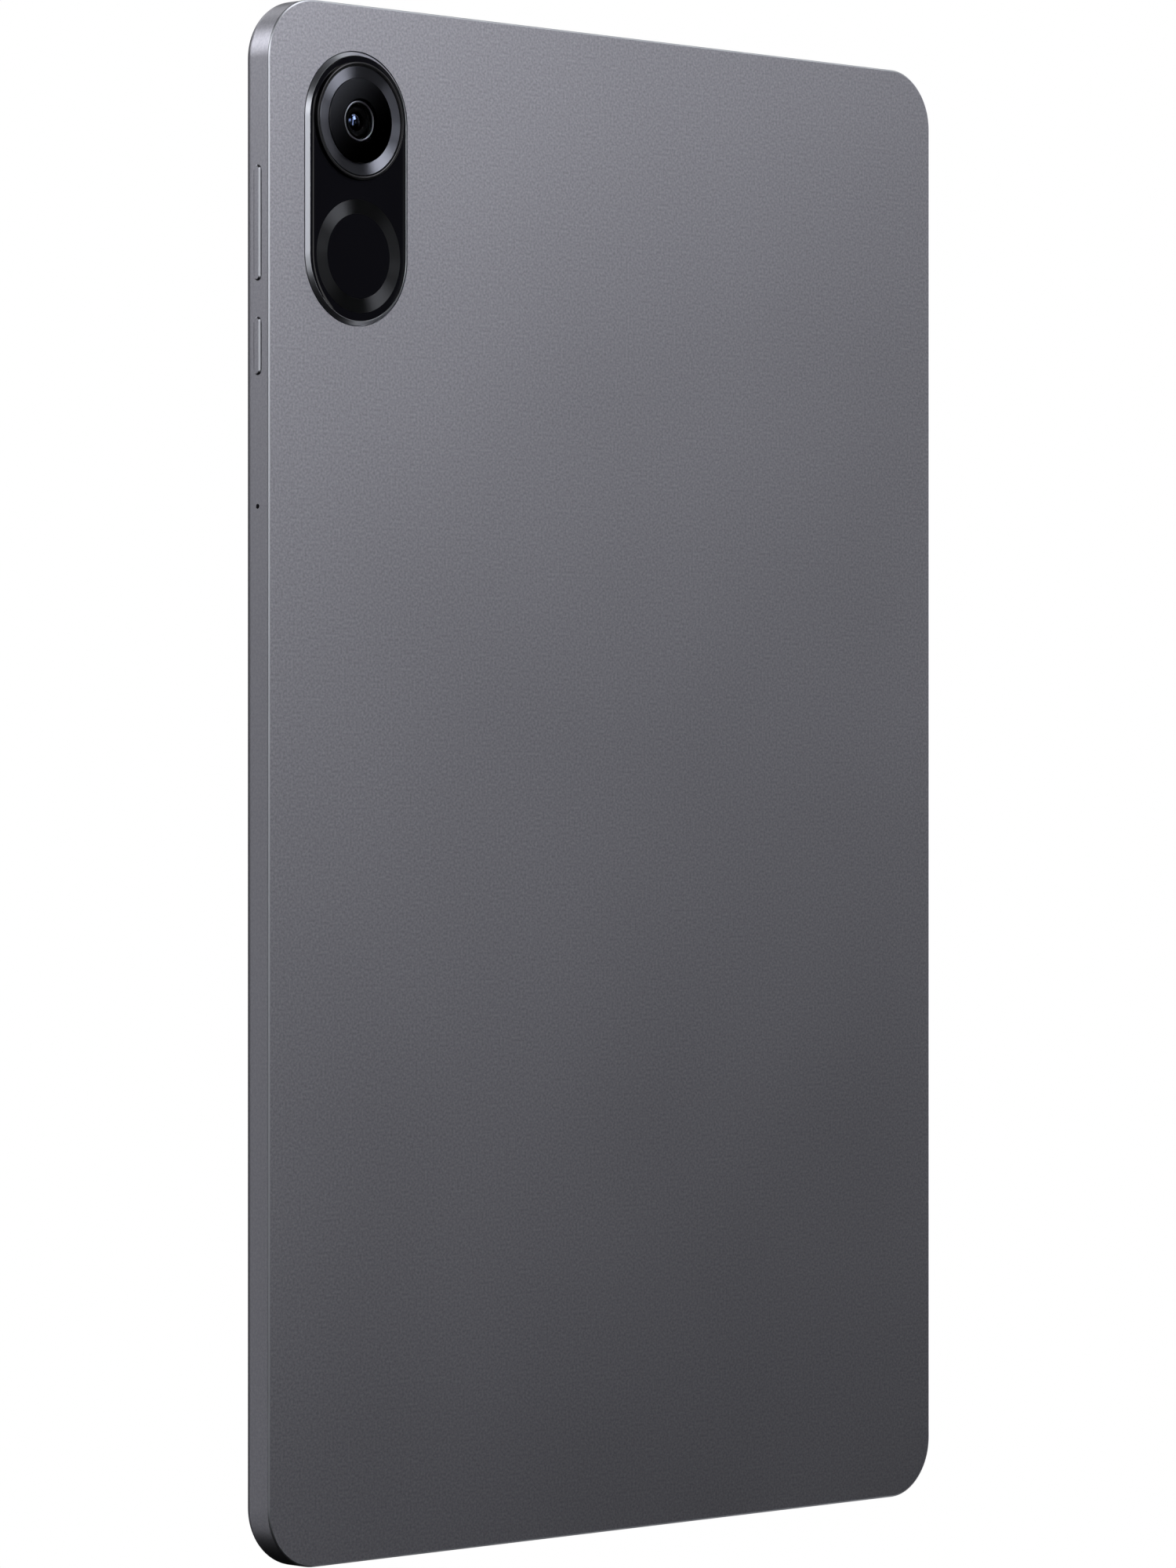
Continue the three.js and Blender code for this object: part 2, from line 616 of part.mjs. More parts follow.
function socket() {
  const tube = plate(socketOutline(SOCKET.shell), SOCKET.end, SOCKET.mouth, SLOT_STEPS);
  const bore = plate(socketOutline(SOCKET.bore), SOCKET.back, SOCKET.mouth + PAST, SLOT_STEPS);
  addPiece("usb_c_shell", onShortSide(carve(tube, { cuts: [bore] }), -1), FINISH.steel);
  const [width, height] = SOCKET.tongue;
  const outline = { width, height, radius: SOCKET.tongueCorner, z: SIDE_MIDDLE };
  const tongue = plate(outline, SOCKET.back + GAP, SOCKET.tongueTip, SLOT_STEPS);
  addPiece("usb_c_tongue", onShortSide(tongue, -1), FINISH.blackPlastic);
}

// ------------------------------------------------------------------------------------- power and boards

function battery() {
  const middle = (CELL.split + CELL.width) / 2;
  [["left", -1], ["right", 1]].forEach(([name, side]) => {
    const cell = { width: CELL.width, height: CELL.height, radius: CELL.corner, x: side * middle };
    const [back, front] = CELL.y;
    const levels = [[back, CELL.bevel], [back + CELL.bevel, 0], [front - CELL.bevel, 0], [front, CELL.bevel]];
    addPiece(`battery_cell_${name}`, slab(cell, levels, SLOT_STEPS), FINISH.cell);
  });
  const { x, y, z } = PROTECTION_BOARD;
  addPiece("battery_protection_board", block(x, y, z), FINISH.board);
}

/** Screw holes through a board. */
const boardHoles = (places) => (
  places.map(([x, z]) => disc(BOSS.boardHole, 0, BODY.depth, x, z, PIN_SEGMENTS))
);

/** A shield can on a board: five walls, open towards the board. */
function shieldCan(xRange, zRange) {
  const foot = BOARD.y[1] + GAP;
  const shrink = ([low, high]) => [low + CAN.wall, high - CAN.wall];
  const inside = block(shrink(xRange), [foot - PAST, CAN.top - CAN.wall], shrink(zRange));
  return carve(block(xRange, [foot, CAN.top], zRange), { cuts: [inside] });
}

function boards() {
  const edge = new THREE.Shape();
  edge.setFromPoints(MAIN_BOARD_EDGE.map(([x, z]) => new THREE.Vector2(x, z)));
  const thickness = BOARD.y[1] - BOARD.y[0];
  const sheet = new THREE.ExtrudeGeometry(edge, { depth: thickness, bevelEnabled: false });
  sheet.rotateX(Math.PI / 2).translate(0, BOARD.y[1], 0);
  addPiece("main_board", carve(sheet, { cuts: boardHoles(MAIN_SCREWS) }), FINISH.board);
  Object.entries(CANS).forEach(([name, { x, z }]) => addPiece(name, shieldCan(x, z), FINISH.steel));

  const usbBoard = block(USB_BOARD.x, BOARD.y, USB_BOARD.z);
  addPiece("usb_board", carve(usbBoard, { cuts: boardHoles(SOCKET_SCREWS) }), FINISH.board);
  const plugs = LINK.plugZ.map((range) => block(LINK.plugX, LINK.plugY, range));
  addPiece("link_flex", carve(block(LINK.x, LINK.y, LINK.z), { joins: plugs }), FINISH.flex);
  addPiece("wifi_antenna_upper", block(ANTENNA.x, ANTENNA.y, ANTENNA.upper), FINISH.flex);
  addPiece("wifi_antenna_lower", block(ANTENNA.x, ANTENNA.y, ANTENNA.lower), FINISH.flex);
}

/** A pan-head screw that goes through a board into its boss. */
function screw(x, z) {
  const seat = BOARD.y[1] + GAP;
  const { head, headEdge, headTop, crown, shank, tip } = SCREW;
  const thread = [[0, tip], [shank, tip], [shank, seat]];
  const profile = [...thread, [head, seat], [head, headEdge], [crown, headTop], [0, headTop]];
  return turned(profile, x, z, PIN_SEGMENTS);
}

function screws() {
  MAIN_SCREWS.forEach(([x, z], i) => addPiece(`main_board_screw_${i + 1}`, screw(x, z), FINISH.steel));
  SOCKET_SCREWS.forEach(([x, z], i) => addPiece(`usb_board_screw_${i + 1}`, screw(x, z), FINISH.steel));
}

// ---------------------------------------------------------------------------------------- screen sensors

function frontCamera() {
  const { x, z, radius, front, neck, back, base } = FRONT_CAMERA;
  const foot = block([x - base[0] / 2, x + base[0] / 2], [back, neck], [z - base[1] / 2, z + base[1] / 2]);
  const barrel = disc(radius, neck - PAST, front, x, z, SMALL_SEGMENTS);
  const bore = disc(FRONT_CAMERA.bore, FRONT_CAMERA.boreFloor, front + PAST, x, z, SMALL_SEGMENTS);
  addPiece("front_camera", carve(foot, { joins: [barrel], cuts: [bore] }), FINISH.blackPlastic);
  addPiece("front_camera_lens", turned(FRONT_LENS_DOME, x, z, SMALL_SEGMENTS), FINISH.lens);

  const [halfX, halfZ] = LIGHT_SENSOR.size.map((size) => size / 2);
  const chip = block(
    [LIGHT_SENSOR.x - halfX, LIGHT_SENSOR.x + halfX],
    LIGHT_SENSOR.y,
    [LIGHT_SENSOR.z - halfZ, LIGHT_SENSOR.z + halfZ],
  );
  addPiece("light_sensor", chip, FINISH.lens);
}

housing();
display();
cameraIsland();
lensTurret();
rearCamera();
keys();
microphone();
speakers();
socket();
battery();
boards();
screws();
frontCamera();

export default tablet;
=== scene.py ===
"""A slim tablet computer, upright and seen from its back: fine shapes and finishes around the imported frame.

Shapes are drawn in millimetres and become metres when a piece is finished. +Z is up along the long side,
the flat back lies on y = 0 and faces -y, and the screen faces +y.
"""
import json
import logging
import math
from dataclasses import dataclass
from enum import Enum
from typing import Iterable

import bmesh
import bpy
from mathutils import Matrix, Vector


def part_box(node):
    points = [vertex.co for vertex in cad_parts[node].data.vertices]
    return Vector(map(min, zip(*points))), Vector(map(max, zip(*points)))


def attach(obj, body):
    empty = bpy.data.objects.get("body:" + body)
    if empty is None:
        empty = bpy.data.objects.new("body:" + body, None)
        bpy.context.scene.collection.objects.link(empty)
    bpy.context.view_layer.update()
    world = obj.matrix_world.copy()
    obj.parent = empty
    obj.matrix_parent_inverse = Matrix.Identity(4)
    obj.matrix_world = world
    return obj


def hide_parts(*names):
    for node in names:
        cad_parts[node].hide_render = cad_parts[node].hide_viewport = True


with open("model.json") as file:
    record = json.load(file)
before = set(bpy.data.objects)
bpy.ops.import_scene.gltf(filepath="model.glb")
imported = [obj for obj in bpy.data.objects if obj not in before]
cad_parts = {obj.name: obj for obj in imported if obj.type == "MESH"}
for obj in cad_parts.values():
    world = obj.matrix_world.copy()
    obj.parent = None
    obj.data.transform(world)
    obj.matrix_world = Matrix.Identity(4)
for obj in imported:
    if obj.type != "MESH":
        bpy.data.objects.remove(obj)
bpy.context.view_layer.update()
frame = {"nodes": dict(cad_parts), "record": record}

log = logging.getLogger("tablet")

MM = 0.001
SMOOTH_BELOW = math.radians(28)
TINY_EDGE = 1e-3  # edges shorter than this, in millimetres, are merged away
LEVEL = 1e-3  # how far, in millimetres, a flat face may stray from its depth
WELD = 1e-5  # points closer than this, in millimetres, are one point
SPARE = 1.0  # how far, in millimetres, a cutting tool runs past what it cuts
ROOT = "tablet_body"
Colour = tuple[float, float, float]
Point = tuple[float, float, float]
Pair = tuple[float, float]
Shape = bmesh.types.BMesh
Face = bmesh.types.BMFace
Wire = bpy.types.NodeSocket


# --- the frame


@dataclass(frozen=True)
class Box:
    """The box of a CAD node, in millimetres."""

    low: Vector
    high: Vector

    @classmethod
    def of(cls, node: str) -> "Box":
        """The box of one node at rest."""
        low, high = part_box(node)
        return cls(low / MM, high / MM)

    @property
    def middle(self) -> Vector:
        """The middle of the box."""
        return (self.low + self.high) / 2

    @property
    def size(self) -> Vector:
        """The box's three sides."""
        return self.high - self.low


# --- shaping helpers


class Facing(Enum):
    """The side of the body that a shape drawn on the plane y = 0, facing -y, is turned to."""

    LEFT = "left"
    TOP = "top"
    BOTTOM = "bottom"

    def turn(self) -> Matrix:
        """Finds the rotation that takes -y to this side's outward direction.

        Returns:
            The rotation.
        """
        quarter = math.radians(90)
        return {
            Facing.LEFT: Matrix.Rotation(-quarter, 3, "Z"),
            Facing.TOP: Matrix.Rotation(-quarter, 3, "X"),
            Facing.BOTTOM: Matrix.Rotation(quarter, 3, "X"),
        }[self]


def rounded_face(width: float, height: float, radius: float, steps: int) -> Shape:
    """Draws a rounded rectangle on the plane y = 0, about the origin and facing -y.

    Args:
        width: its size along x.
        height: its size along z.
        radius: the corner radius; half the width makes a pill or a circle.
        steps: straight steps in each corner.

    Returns:
        A shape with one face.
    """
    shape = bmesh.new()
    corners = bmesh.ops.create_grid(shape, x_segments=1, y_segments=1, size=0.5)["verts"]
    bmesh.ops.rotate(shape, verts=corners, matrix=Matrix.Rotation(math.radians(90), 3, "X"))
    bmesh.ops.scale(shape, verts=corners, vec=(width, 1, height))
    spare = TINY_EDGE / 10
    offset = min(radius, width / 2 - spare, height / 2 - spare)
    bmesh.ops.bevel(
        shape, geom=corners, offset=offset, affect="VERTICES", segments=steps, profile=0.5, material=-1
    )
    bmesh.ops.remove_doubles(shape, verts=shape.verts, dist=TINY_EDGE)
    shape.faces.ensure_lookup_table()
    return shape


def terrace(shape: Shape, face: Face, steps: Iterable[Pair]) -> Face:
    """Steps a face inwards and outwards, each time keeping the new middle face.

    Args:
        shape: the shape that holds the face.
        face: the face to start from.
        steps: pairs of how far the outline shrinks and how far the face then rises along its normal.

    Returns:
        The last middle face.
    """
    for inset, rise in steps:
        if inset:
            bmesh.ops.inset_region(shape, faces=[face], thickness=inset, depth=rise, use_even_offset=True)
        else:
            normal = face.normal.copy()
            made = bmesh.ops.extrude_face_region(shape, geom=[face])["geom"]
            if face.is_valid:
                shape.faces.remove(face)
            face = next(item for item in made if isinstance(item, Face))
            bmesh.ops.translate(shape, verts=list(face.verts), vec=normal * rise)
    return face


def slab(width: float, height: float, radius: float, back: float, front: float, steps: int = 8) -> Shape:
    """A rounded slab between two depths.

    Args:
        width: its size along x.
        height: its size along z.
        radius: the corner radius.
        back: the depth of the face towards -y.
        front: the depth of the face towards +y.
        steps: straight steps in each corner.

    Returns:
        A closed shape.
    """
    shape = rounded_face(width, height, radius, steps)
    made = bmesh.ops.extrude_face_region(shape, geom=[shape.faces[0]])["geom"]
    far = [item for item in made if isinstance(item, bmesh.types.BMVert)]
    bmesh.ops.translate(shape, verts=far, vec=(0, front - back, 0))
    bmesh.ops.translate(shape, verts=shape.verts, vec=(0, back, 0))
    bmesh.ops.recalc_face_normals(shape, faces=shape.faces)
    return shape


def face_at(shape: Shape, y: float) -> Face:
    """The largest face that lies flat at a depth."""
    flat = [f for f in shape.faces if all(abs(v.co.y - y) < LEVEL for v in f.verts)]
    return max(flat, key=lambda f: f.calc_area())


def soften(shape: Shape, y: float, width: float, steps: int, material: int = 0) -> None:
    """Rounds or chamfers every edge that runs flat at a depth.

    Args:
        shape: the shape to change.
        y: the depth of the edges.
        width: the width of the round or chamfer.
        steps: 1 for a chamfer, more for a round.
        material: the material index of the new faces, or 0 to keep their neighbours' one.
    """
    rim = [e for e in shape.edges if all(abs(v.co.y - y) < LEVEL for v in e.verts)]
    made = bmesh.ops.bevel(
        shape,
        geom=rim,
        offset=width,
        affect="EDGES",
        segments=steps,
        profile=0.5,
        material=-1,
        clamp_overlap=True,
    )
    if material:
        for face in made["faces"]:
            face.material_index = material


def turned(profile: Iterable[Pair], steps: int = 128, closed: bool = True) -> Shape:
    """Spins a section about the y axis.

    Args:
        profile: points of the section as radius and depth, in order.
        steps: straight steps round the whole turn.
        closed: whether the last point joins the first; sections that start and end on the axis stay open.

    Returns:
        A closed shape about the origin.
    """
    shape = bmesh.new()
    points = [shape.verts.new((radius, y, 0)) for radius, y in profile]
    pairs = list(zip(points, points[1:])) + ([(points[-1], points[0])] if closed else [])
    for first, second in pairs:
        shape.edges.new((first, second))
    bmesh.ops.spin(
        shape,
        geom=list(shape.verts) + list(shape.edges),
        cent=(0, 0, 0),
        axis=(0, 1, 0),
        angle=math.tau,
        steps=steps,
        use_merge=True,
    )
    bmesh.ops.remove_doubles(shape, verts=shape.verts, dist=WELD)
    bmesh.ops.recalc_face_normals(shape, faces=shape.faces)
    return shape


def ring(outer: float, inner: float, top: float, bottom: float, steps: int = 128) -> Shape:
    """A turned ring with a rectangular section."""
    return turned([(inner, top), (outer, top), (outer, bottom), (inner, bottom)], steps)


def moved(shape: Shape, place: Vector | Point) -> Shape:
    """The same shape, shifted."""
    bmesh.ops.translate(shape, verts=shape.verts, vec=Vector(place))
    return shape


def centred(shape: Shape, middle: Vector) -> Shape:
    """The same shape, shifted to the x and z of a point."""
    return moved(shape, (middle.x, 0, middle.z))


def plug(radius: float, back: float, front: float, middle: Vector, steps: int) -> Shape:
    """A turned cylinder between two depths, at the x and z of a point."""
    section = [(0, back), (radius, back), (radius, front), (0, front)]
    return centred(turned(section, steps, closed=False), middle)


def arc(centre: Pair, reach: Pair, ends: Pair, steps: int) -> list[Pair]:
    """Points of a section along part of an ellipse, in degrees from the front towards the outside."""
    angles = [math.radians(ends[0] + (ends[1] - ends[0]) * i / steps) for i in range(steps + 1)]
    return [(centre[0] + reach[0] * math.sin(a), centre[1] - reach[1] * math.cos(a)) for a in angles]


def row(count: int, pitch: float) -> list[float]:
    """Evenly spaced places about zero."""
    return [(i - (count - 1) / 2) * pitch for i in range(count)]


def mark_inside(shape: Shape, radius: float) -> None:
    """Gives the second material to the faces nearer to the axis than a radius."""
    for face in shape.faces:
        face.material_index = int(face.calc_center_median().xz.length < radius)


def faced(shape: Shape, facing: Facing) -> Shape:
    """The same shape, turned to one side of the body."""
    bmesh.ops.rotate(shape, verts=shape.verts, matrix=facing.turn())
    return shape


def joined(shapes: Iterable[Shape]) -> Shape:
    """Puts several shapes together.

    Args:
        shapes: the shapes, which are used up.

    Returns:
        One shape that holds them all.
    """
    whole = bmesh.new()
    for shape in shapes:
        mesh = bpy.data.meshes.new("part")
        shape.to_mesh(mesh)
        whole.from_mesh(mesh)
        bpy.data.meshes.remove(mesh)
        shape.free()
    return whole


def cut(shape: Shape, tools: Iterable[Shape]) -> Shape:
    """Cuts tools out of a shape.

    Args:
        shape: the closed shape to cut.
        tools: closed shapes that don't overlap each other.

    Returns:
        What is left.
    """
    pair = []
    for name, part in (("blank", shape), ("tools", joined(tools))):
        mesh = bpy.data.meshes.new(name)
        part.to_mesh(mesh)
        part.free()
        thing = bpy.data.objects.new(name, mesh)
        bpy.context.scene.collection.objects.link(thing)
        pair.append(thing)
    blank, cutter = pair
    for _ in range(2):  # without slots, the faces would lose their material index
        blank.data.materials.append(None)
    boolean = blank.modifiers.new("cut", "BOOLEAN")
    boolean.operation, boolean.solver, boolean.object = "DIFFERENCE", "EXACT", cutter
    boolean.use_self = True
    result = bmesh.new()
    result.from_object(blank, bpy.context.evaluated_depsgraph_get())
    for thing in pair:
        mesh = thing.data
        bpy.data.objects.remove(thing)
        bpy.data.meshes.remove(mesh)
    bmesh.ops.remove_doubles(result, verts=result.verts, dist=WELD)
    return result


# --- node materials


def shaded(colour: Colour, factor: float) -> Colour:
    """A colour made paler or darker by a factor."""
    return tuple(min(1.0, c * factor) for c in colour)


class Recipe:
    """A node material around one Principled shader, with short calls for its nodes."""

    def __init__(self, name: str) -> None:
        """Starts an empty material with a shader and an output.

        Args:
            name: the material's name.
        """
        self.material = bpy.data.materials.new(name)
        self.material.use_nodes = True
        self.tree = self.material.node_tree
        self.tree.nodes.clear()
        self.shader = self.tree.nodes.new("ShaderNodeBsdfPrincipled")
        output = self.tree.nodes.new("ShaderNodeOutputMaterial")
        self.tree.links.new(self.shader.outputs["BSDF"], output.inputs["Surface"])

    def set(self, **values: float | Colour) -> None:
        """Sets uniform values on the shader.

        Args:
            values: by the socket's name, with underscores for spaces.
        """
        for name, value in values.items():
            socket = self.shader.inputs[name.replace("_", " ")]
            socket.default_value = (*value, 1.0) if isinstance(value, tuple) else value

    def node(self, kind: str, **settings: object) -> bpy.types.Node:
        """Adds a node.

        Args:
            kind: the node's type, without its common first word.
            settings: its properties.

        Returns:
            The node.
        """
        made = self.tree.nodes.new("ShaderNode" + kind)
        for name, value in settings.items():
            setattr(made, name, value)
        return made

    def feed(self, node: bpy.types.Node, **inputs: object) -> bpy.types.Node:
        """Links sockets to a node's inputs, or sets them to plain values.

        Args:
            node: the node to feed.
            inputs: by name, or as _0, _1 and so on by place.

        Returns:
            The same node.
        """
        for name, value in inputs.items():
            key = int(name[1:]) if name[0] == "_" else name.replace("_", " ")
            if isinstance(value, Wire):
                self.tree.links.new(value, node.inputs[key])
            else:
                node.inputs[key].default_value = value
        return node

    def link(self, **sockets: Wire) -> None:
        """Links sockets to the shader's inputs."""
        self.feed(self.shader, **sockets)

    def place(self, origin: Point = (0, 0, 0), scale: float = 1.0) -> Wire:
        """Gives object coordinates in millimetres about an origin, scaled.

        Args:
            origin: the point that becomes zero, in millimetres.
            scale: a factor for all three axes.

        Returns:
            The vector's socket.
        """
        coordinates = self.node("TexCoord").outputs["Object"]
        factor, shift = Vector((scale / MM,) * 3), Vector(origin) * -scale
        return self.vector("MULTIPLY_ADD", _0=coordinates, _1=factor, _2=shift)[0]

    def noise(self, vector: Wire, scale: float, detail: float = 2.0) -> Wire:
        """Noise between 0 and 1."""
        made = self.node("TexNoise")
        return self.feed(made, Vector=vector, Scale=scale, Detail=detail).outputs["Fac"]

    def math(self, operation: str, *values: object) -> Wire:
        """One arithmetic step."""
        made = self.node("Math", operation=operation)
        return self.feed(made, **{f"_{i}": value for i, value in enumerate(values)}).outputs[0]

    def ranged(self, value: Wire, **ends: float) -> Wire:
        """Takes one range to another, each from 0 to 1 unless its ends are given."""
        return self.feed(self.node("MapRange"), Value=value, **ends).outputs["Result"]

    def vector(self, operation: str, **inputs: object) -> bpy.types.bpy_prop_collection:
        """The outputs of one step of vector arithmetic."""
        return self.feed(self.node("VectorMath", operation=operation), **inputs).outputs

    def parts(self, vector: Wire) -> bpy.types.bpy_prop_collection:
        """A vector's X, Y and Z."""
        return self.feed(self.node("SeparateXYZ"), Vector=vector).outputs

    def mix(self, factor: object, first: object, second: object) -> Wire:
        """Blends two colours.

        Args:
            factor: 0 for the first colour, 1 for the second.
            first: a socket or a plain colour.
            second: a socket or a plain colour.

        Returns:
            The blend's socket.
        """
        made = self.node("Mix", data_type="RGBA")
        colours = [(*c, 1.0) if isinstance(c, tuple) else c for c in (first, second)]
        return self.feed(made, _0=factor, _6=colours[0], _7=colours[1]).outputs[2]

    def tint(self, value: Wire, colour: Colour, low: float, high: float) -> None:
        """Colours the shader by one colour, shaded from one factor to another."""
        self.link(Base_Color=self.mix(value, shaded(colour, low), shaded(colour, high)))

    def gloss(self, value: Wire, low: float, high: float) -> None:
        """Sets the shader's roughness from one value to another."""
        self.link(Roughness=self.ranged(value, To_Min=low, To_Max=high))

    def bump(self, height: Wire, depth: float, strength: float = 1.0) -> None:
        """Raises the surface.

        Args:
            height: a socket with the height, from 0 to 1.
            depth: how far a height of 1 raises, in millimetres.
            strength: how much of the effect shows.
        """
        made = self.node("Bump")
        self.feed(made, Height=height, Distance=depth * MM, Strength=strength)
        self.link(Normal=made.outputs["Normal"])


class Finish:
    """A finish that makes its material once and then hands out the same one."""

    made: dict["Finish", bpy.types.Material] = {}

    def fill(self, made: Recipe) -> None:
        """Adds the material's nodes; each finish has its own."""
        raise NotImplementedError

    def material(self) -> bpy.types.Material:
        """Finds the finish's material, or makes it the first time.

        Returns:
            The material.
        """
        if self not in Finish.made:
            made = Recipe(self.name)
            self.fill(made)
            Finish.made[self] = made.material
        return Finish.made[self]


@dataclass(frozen=True)
class Sandblasted(Finish):
    """Anodised aluminium with a fine sandblasted grain, calmer round the sides than on the flat back."""

    name: str = "sandblasted_aluminium"
    colour: Colour = (0.33, 0.33, 0.372)
    roughness: float = 0.44
    drift: float = 0.02
    grain: float = 2.2
    contrast: float = 0.2
    relief: Pair = (0.004, 0.22)
    calm_depths: Pair = (0.1, 0.5)
    calm: float = 0.45

    def fill(self, made: Recipe) -> None:
        """Puts the grain in colour and height, and a slow drift in roughness.

        Args:
            made: the empty recipe.
        """
        made.set(Metallic=1.0)
        here = made.place()
        busy = made.ranged(made.noise(here, self.grain, 2.5), From_Min=0.3, From_Max=0.7)
        depth, (near, far) = made.parts(here)["Y"], self.calm_depths
        calm = made.ranged(depth, From_Min=near, From_Max=far, To_Min=1.0, To_Max=self.calm)
        swing = made.math("MULTIPLY", made.math("SUBTRACT", busy, 0.5), calm)
        grain = made.math("ADD", swing, 0.5)
        made.tint(grain, self.colour, 1 - self.contrast, 1 + self.contrast)
        slow = made.noise(here, 0.02, 1.0)
        made.gloss(slow, self.roughness - self.drift, self.roughness + self.drift)
        made.bump(grain, *self.relief)


@dataclass(frozen=True)
class Polished(Finish):
    """Diamond-cut aluminium with hair-fine cutter marks."""

    name: str = "polished_aluminium"
    colour: Colour = (0.455, 0.47, 0.515)
    roughness: float = 0.3
    marks: float = 0.008

    def fill(self, made: Recipe) -> None:
        """Puts fine marks in roughness and colour.

        Args:
            made: the empty recipe.
        """
        made.set(Metallic=1.0)
        marks = made.noise(made.place(), 2.5, 3.0)
        made.gloss(marks, self.roughness - self.marks, self.roughness + self.marks)
        made.tint(marks, self.colour, 1.0, 1.04)


@dataclass(frozen=True)
class SpunMetal(Finish):
    """Dark metal turned in fine circles, so that light stretches across them."""

    name: str
    centre: Point
    colour: Colour
    roughness: float = 0.32
    anisotropy: float = 1.0
    swing: float = 0.05

    def fill(self, made: Recipe) -> None:
        """Spreads gloss along the spokes, and makes grooves by distance from the centre.

        Args:
            made: the empty recipe.
        """
        made.set(Metallic=1.0, Anisotropic=self.anisotropy)
        arm = made.place(self.centre)
        flat = made.vector("MULTIPLY", _0=arm, _1=Vector((1, 0, 1)))[0]
        made.link(Tangent=made.vector("NORMALIZE", _0=flat)[0])
        line = made.feed(made.node("CombineXYZ"), X=made.vector("LENGTH", _0=flat)["Value"])
        grooves = made.noise(line.outputs[0], 14.0, 3.0)
        made.tint(grooves, self.colour, 0.7, 1.35)
        made.gloss(grooves, self.roughness - self.swing, self.roughness + self.swing)


@dataclass(frozen=True)
class BlackGlass(Finish):
    """Polished glass that is black behind, with faint smears."""

    name: str = "black_glass"
    colour: Colour = (0.004, 0.004, 0.0055)
    roughness: float = 0.045

    def fill(self, made: Recipe) -> None:
        """Puts smears in roughness and a slow change in colour.

        Args:
            made: the empty recipe.
        """
        made.set(IOR=1.45)
        here = made.place()
        smears = made.noise(here, 0.12, 3.0)
        made.gloss(smears, self.roughness * 0.6, self.roughness * 1.5)
        made.tint(made.noise(here, 0.05, 1.0), self.colour, 1.0, 1.4)


@dataclass(frozen=True)
class LensGlass(Finish):
    """Black lens glass with a painted sheen: a painted reflection in its base colour that grows towards its
    upper left.
    """

    centre: Point
    radius: float
    name: str = "black_lens_glass_painted_sheen"
    colour: Colour = (0.0021, 0.0022, 0.0026)
    growth: float = 4.2
    roughness: float = 0.045

    def fill(self, made: Recipe) -> None:
        """Paints the sheen into the base colour, as a power of the distance along the slope from lower right
        to upper left.

        Args:
            made: the empty recipe.
        """
        made.set(IOR=1.45, Roughness=self.roughness)
        # painted sheen: the base colour gets brighter towards the upper left, a painted reflection on the
        # black glass
        slope = Vector((-1, 0, 1)).normalized() / self.radius
        along = made.vector("DOT_PRODUCT", _0=made.place(self.centre), _1=slope)["Value"]
        painted_sheen = made.math("POWER", made.math("ADD", along, 1.0), self.growth)
        made.link(Base_Color=made.vector("SCALE", _0=Vector(self.colour), Scale=painted_sheen)[0])


@dataclass(frozen=True)
class ScreenGlass(Finish):
    """Cover glass over a dark screen, with a black printed border."""

    name: str = "screen_glass"
    active: Pair = (150.3, 250.5)
    border: Colour = (0.0025, 0.0025, 0.0028)
    screen: Colour = (0.006, 0.0062, 0.0075)
    smears: Pair = (0.02, 0.09)

    def fill(self, made: Recipe) -> None:
        """Shows the screen a little paler than its border, under smears.

        Args:
            made: the empty recipe.
        """
        made.set(IOR=1.5)
        here = made.place()
        parts = made.parts(here)
        sides = zip("XZ", self.active)
        inside = [made.math("LESS_THAN", made.math("ABSOLUTE", parts[a]), size / 2) for a, size in sides]
        window = made.math("MULTIPLY", *inside)
        made.link(Base_Color=made.mix(window, self.border, self.screen))
        made.gloss(made.noise(here, 0.03, 4.0), *self.smears)


@dataclass(frozen=True)
class ClearGlass(Finish):
    """Clear glass over a lens, with a coating tint."""

    name: str = "clear_glass"
    colour: Colour = (0.93, 0.95, 1.0)

    def fill(self, made: Recipe) -> None:
        """Makes glass with a faintly uneven tint.

        Args:
            made: the empty recipe.
        """
        made.set(IOR=1.45, Transmission_Weight=1.0, Roughness=0.0)
        made.tint(made.noise(made.place(), 0.4, 1.0), self.colour, 1.0, 0.97)


@dataclass(frozen=True)
class CoatedLens(Finish):
    """A lens element whose mirror-like coating turns from blue to violet towards its edge."""

    name: str = "coated_lens"
    core: Colour = (0.035, 0.06, 0.13)
    rim: Colour = (0.012, 0.008, 0.03)
    roughness: float = 0.08

    def fill(self, made: Recipe) -> None:
        """Colours the coating by the angle of the surface.

        Args:
            made: the empty recipe.
        """
        made.set(Metallic=1.0, Roughness=self.roughness, Coat_Weight=1.0, Coat_Roughness=0.03)
        facing = made.feed(made.node("LayerWeight"), Blend=0.5).outputs["Facing"]
        made.link(Base_Color=made.mix(facing, self.core, self.rim))


@dataclass(frozen=True)
class Grained(Finish):
    """Any plain material with a fine grain in colour, gloss and height."""

    name: str
    colour: Colour
    roughness: float
    metallic: float = 0.0
    grain: float = 4.0
    contrast: float = 0.25
    relief: float = 0.004
    shine: float = 0.5

    def fill(self, made: Recipe) -> None:
        """Drives colour, roughness and height by one noise.

        Args:
            made: the empty recipe.
        """
        made.set(Metallic=self.metallic, Specular_IOR_Level=self.shine)
        grain = made.noise(made.place(), self.grain, 3.0)
        made.tint(grain, self.colour, 1 - self.contrast, 1 + self.contrast)
        made.gloss(grain, self.roughness * 0.85, min(1.0, self.roughness * 1.15))
        made.bump(grain, self.relief)


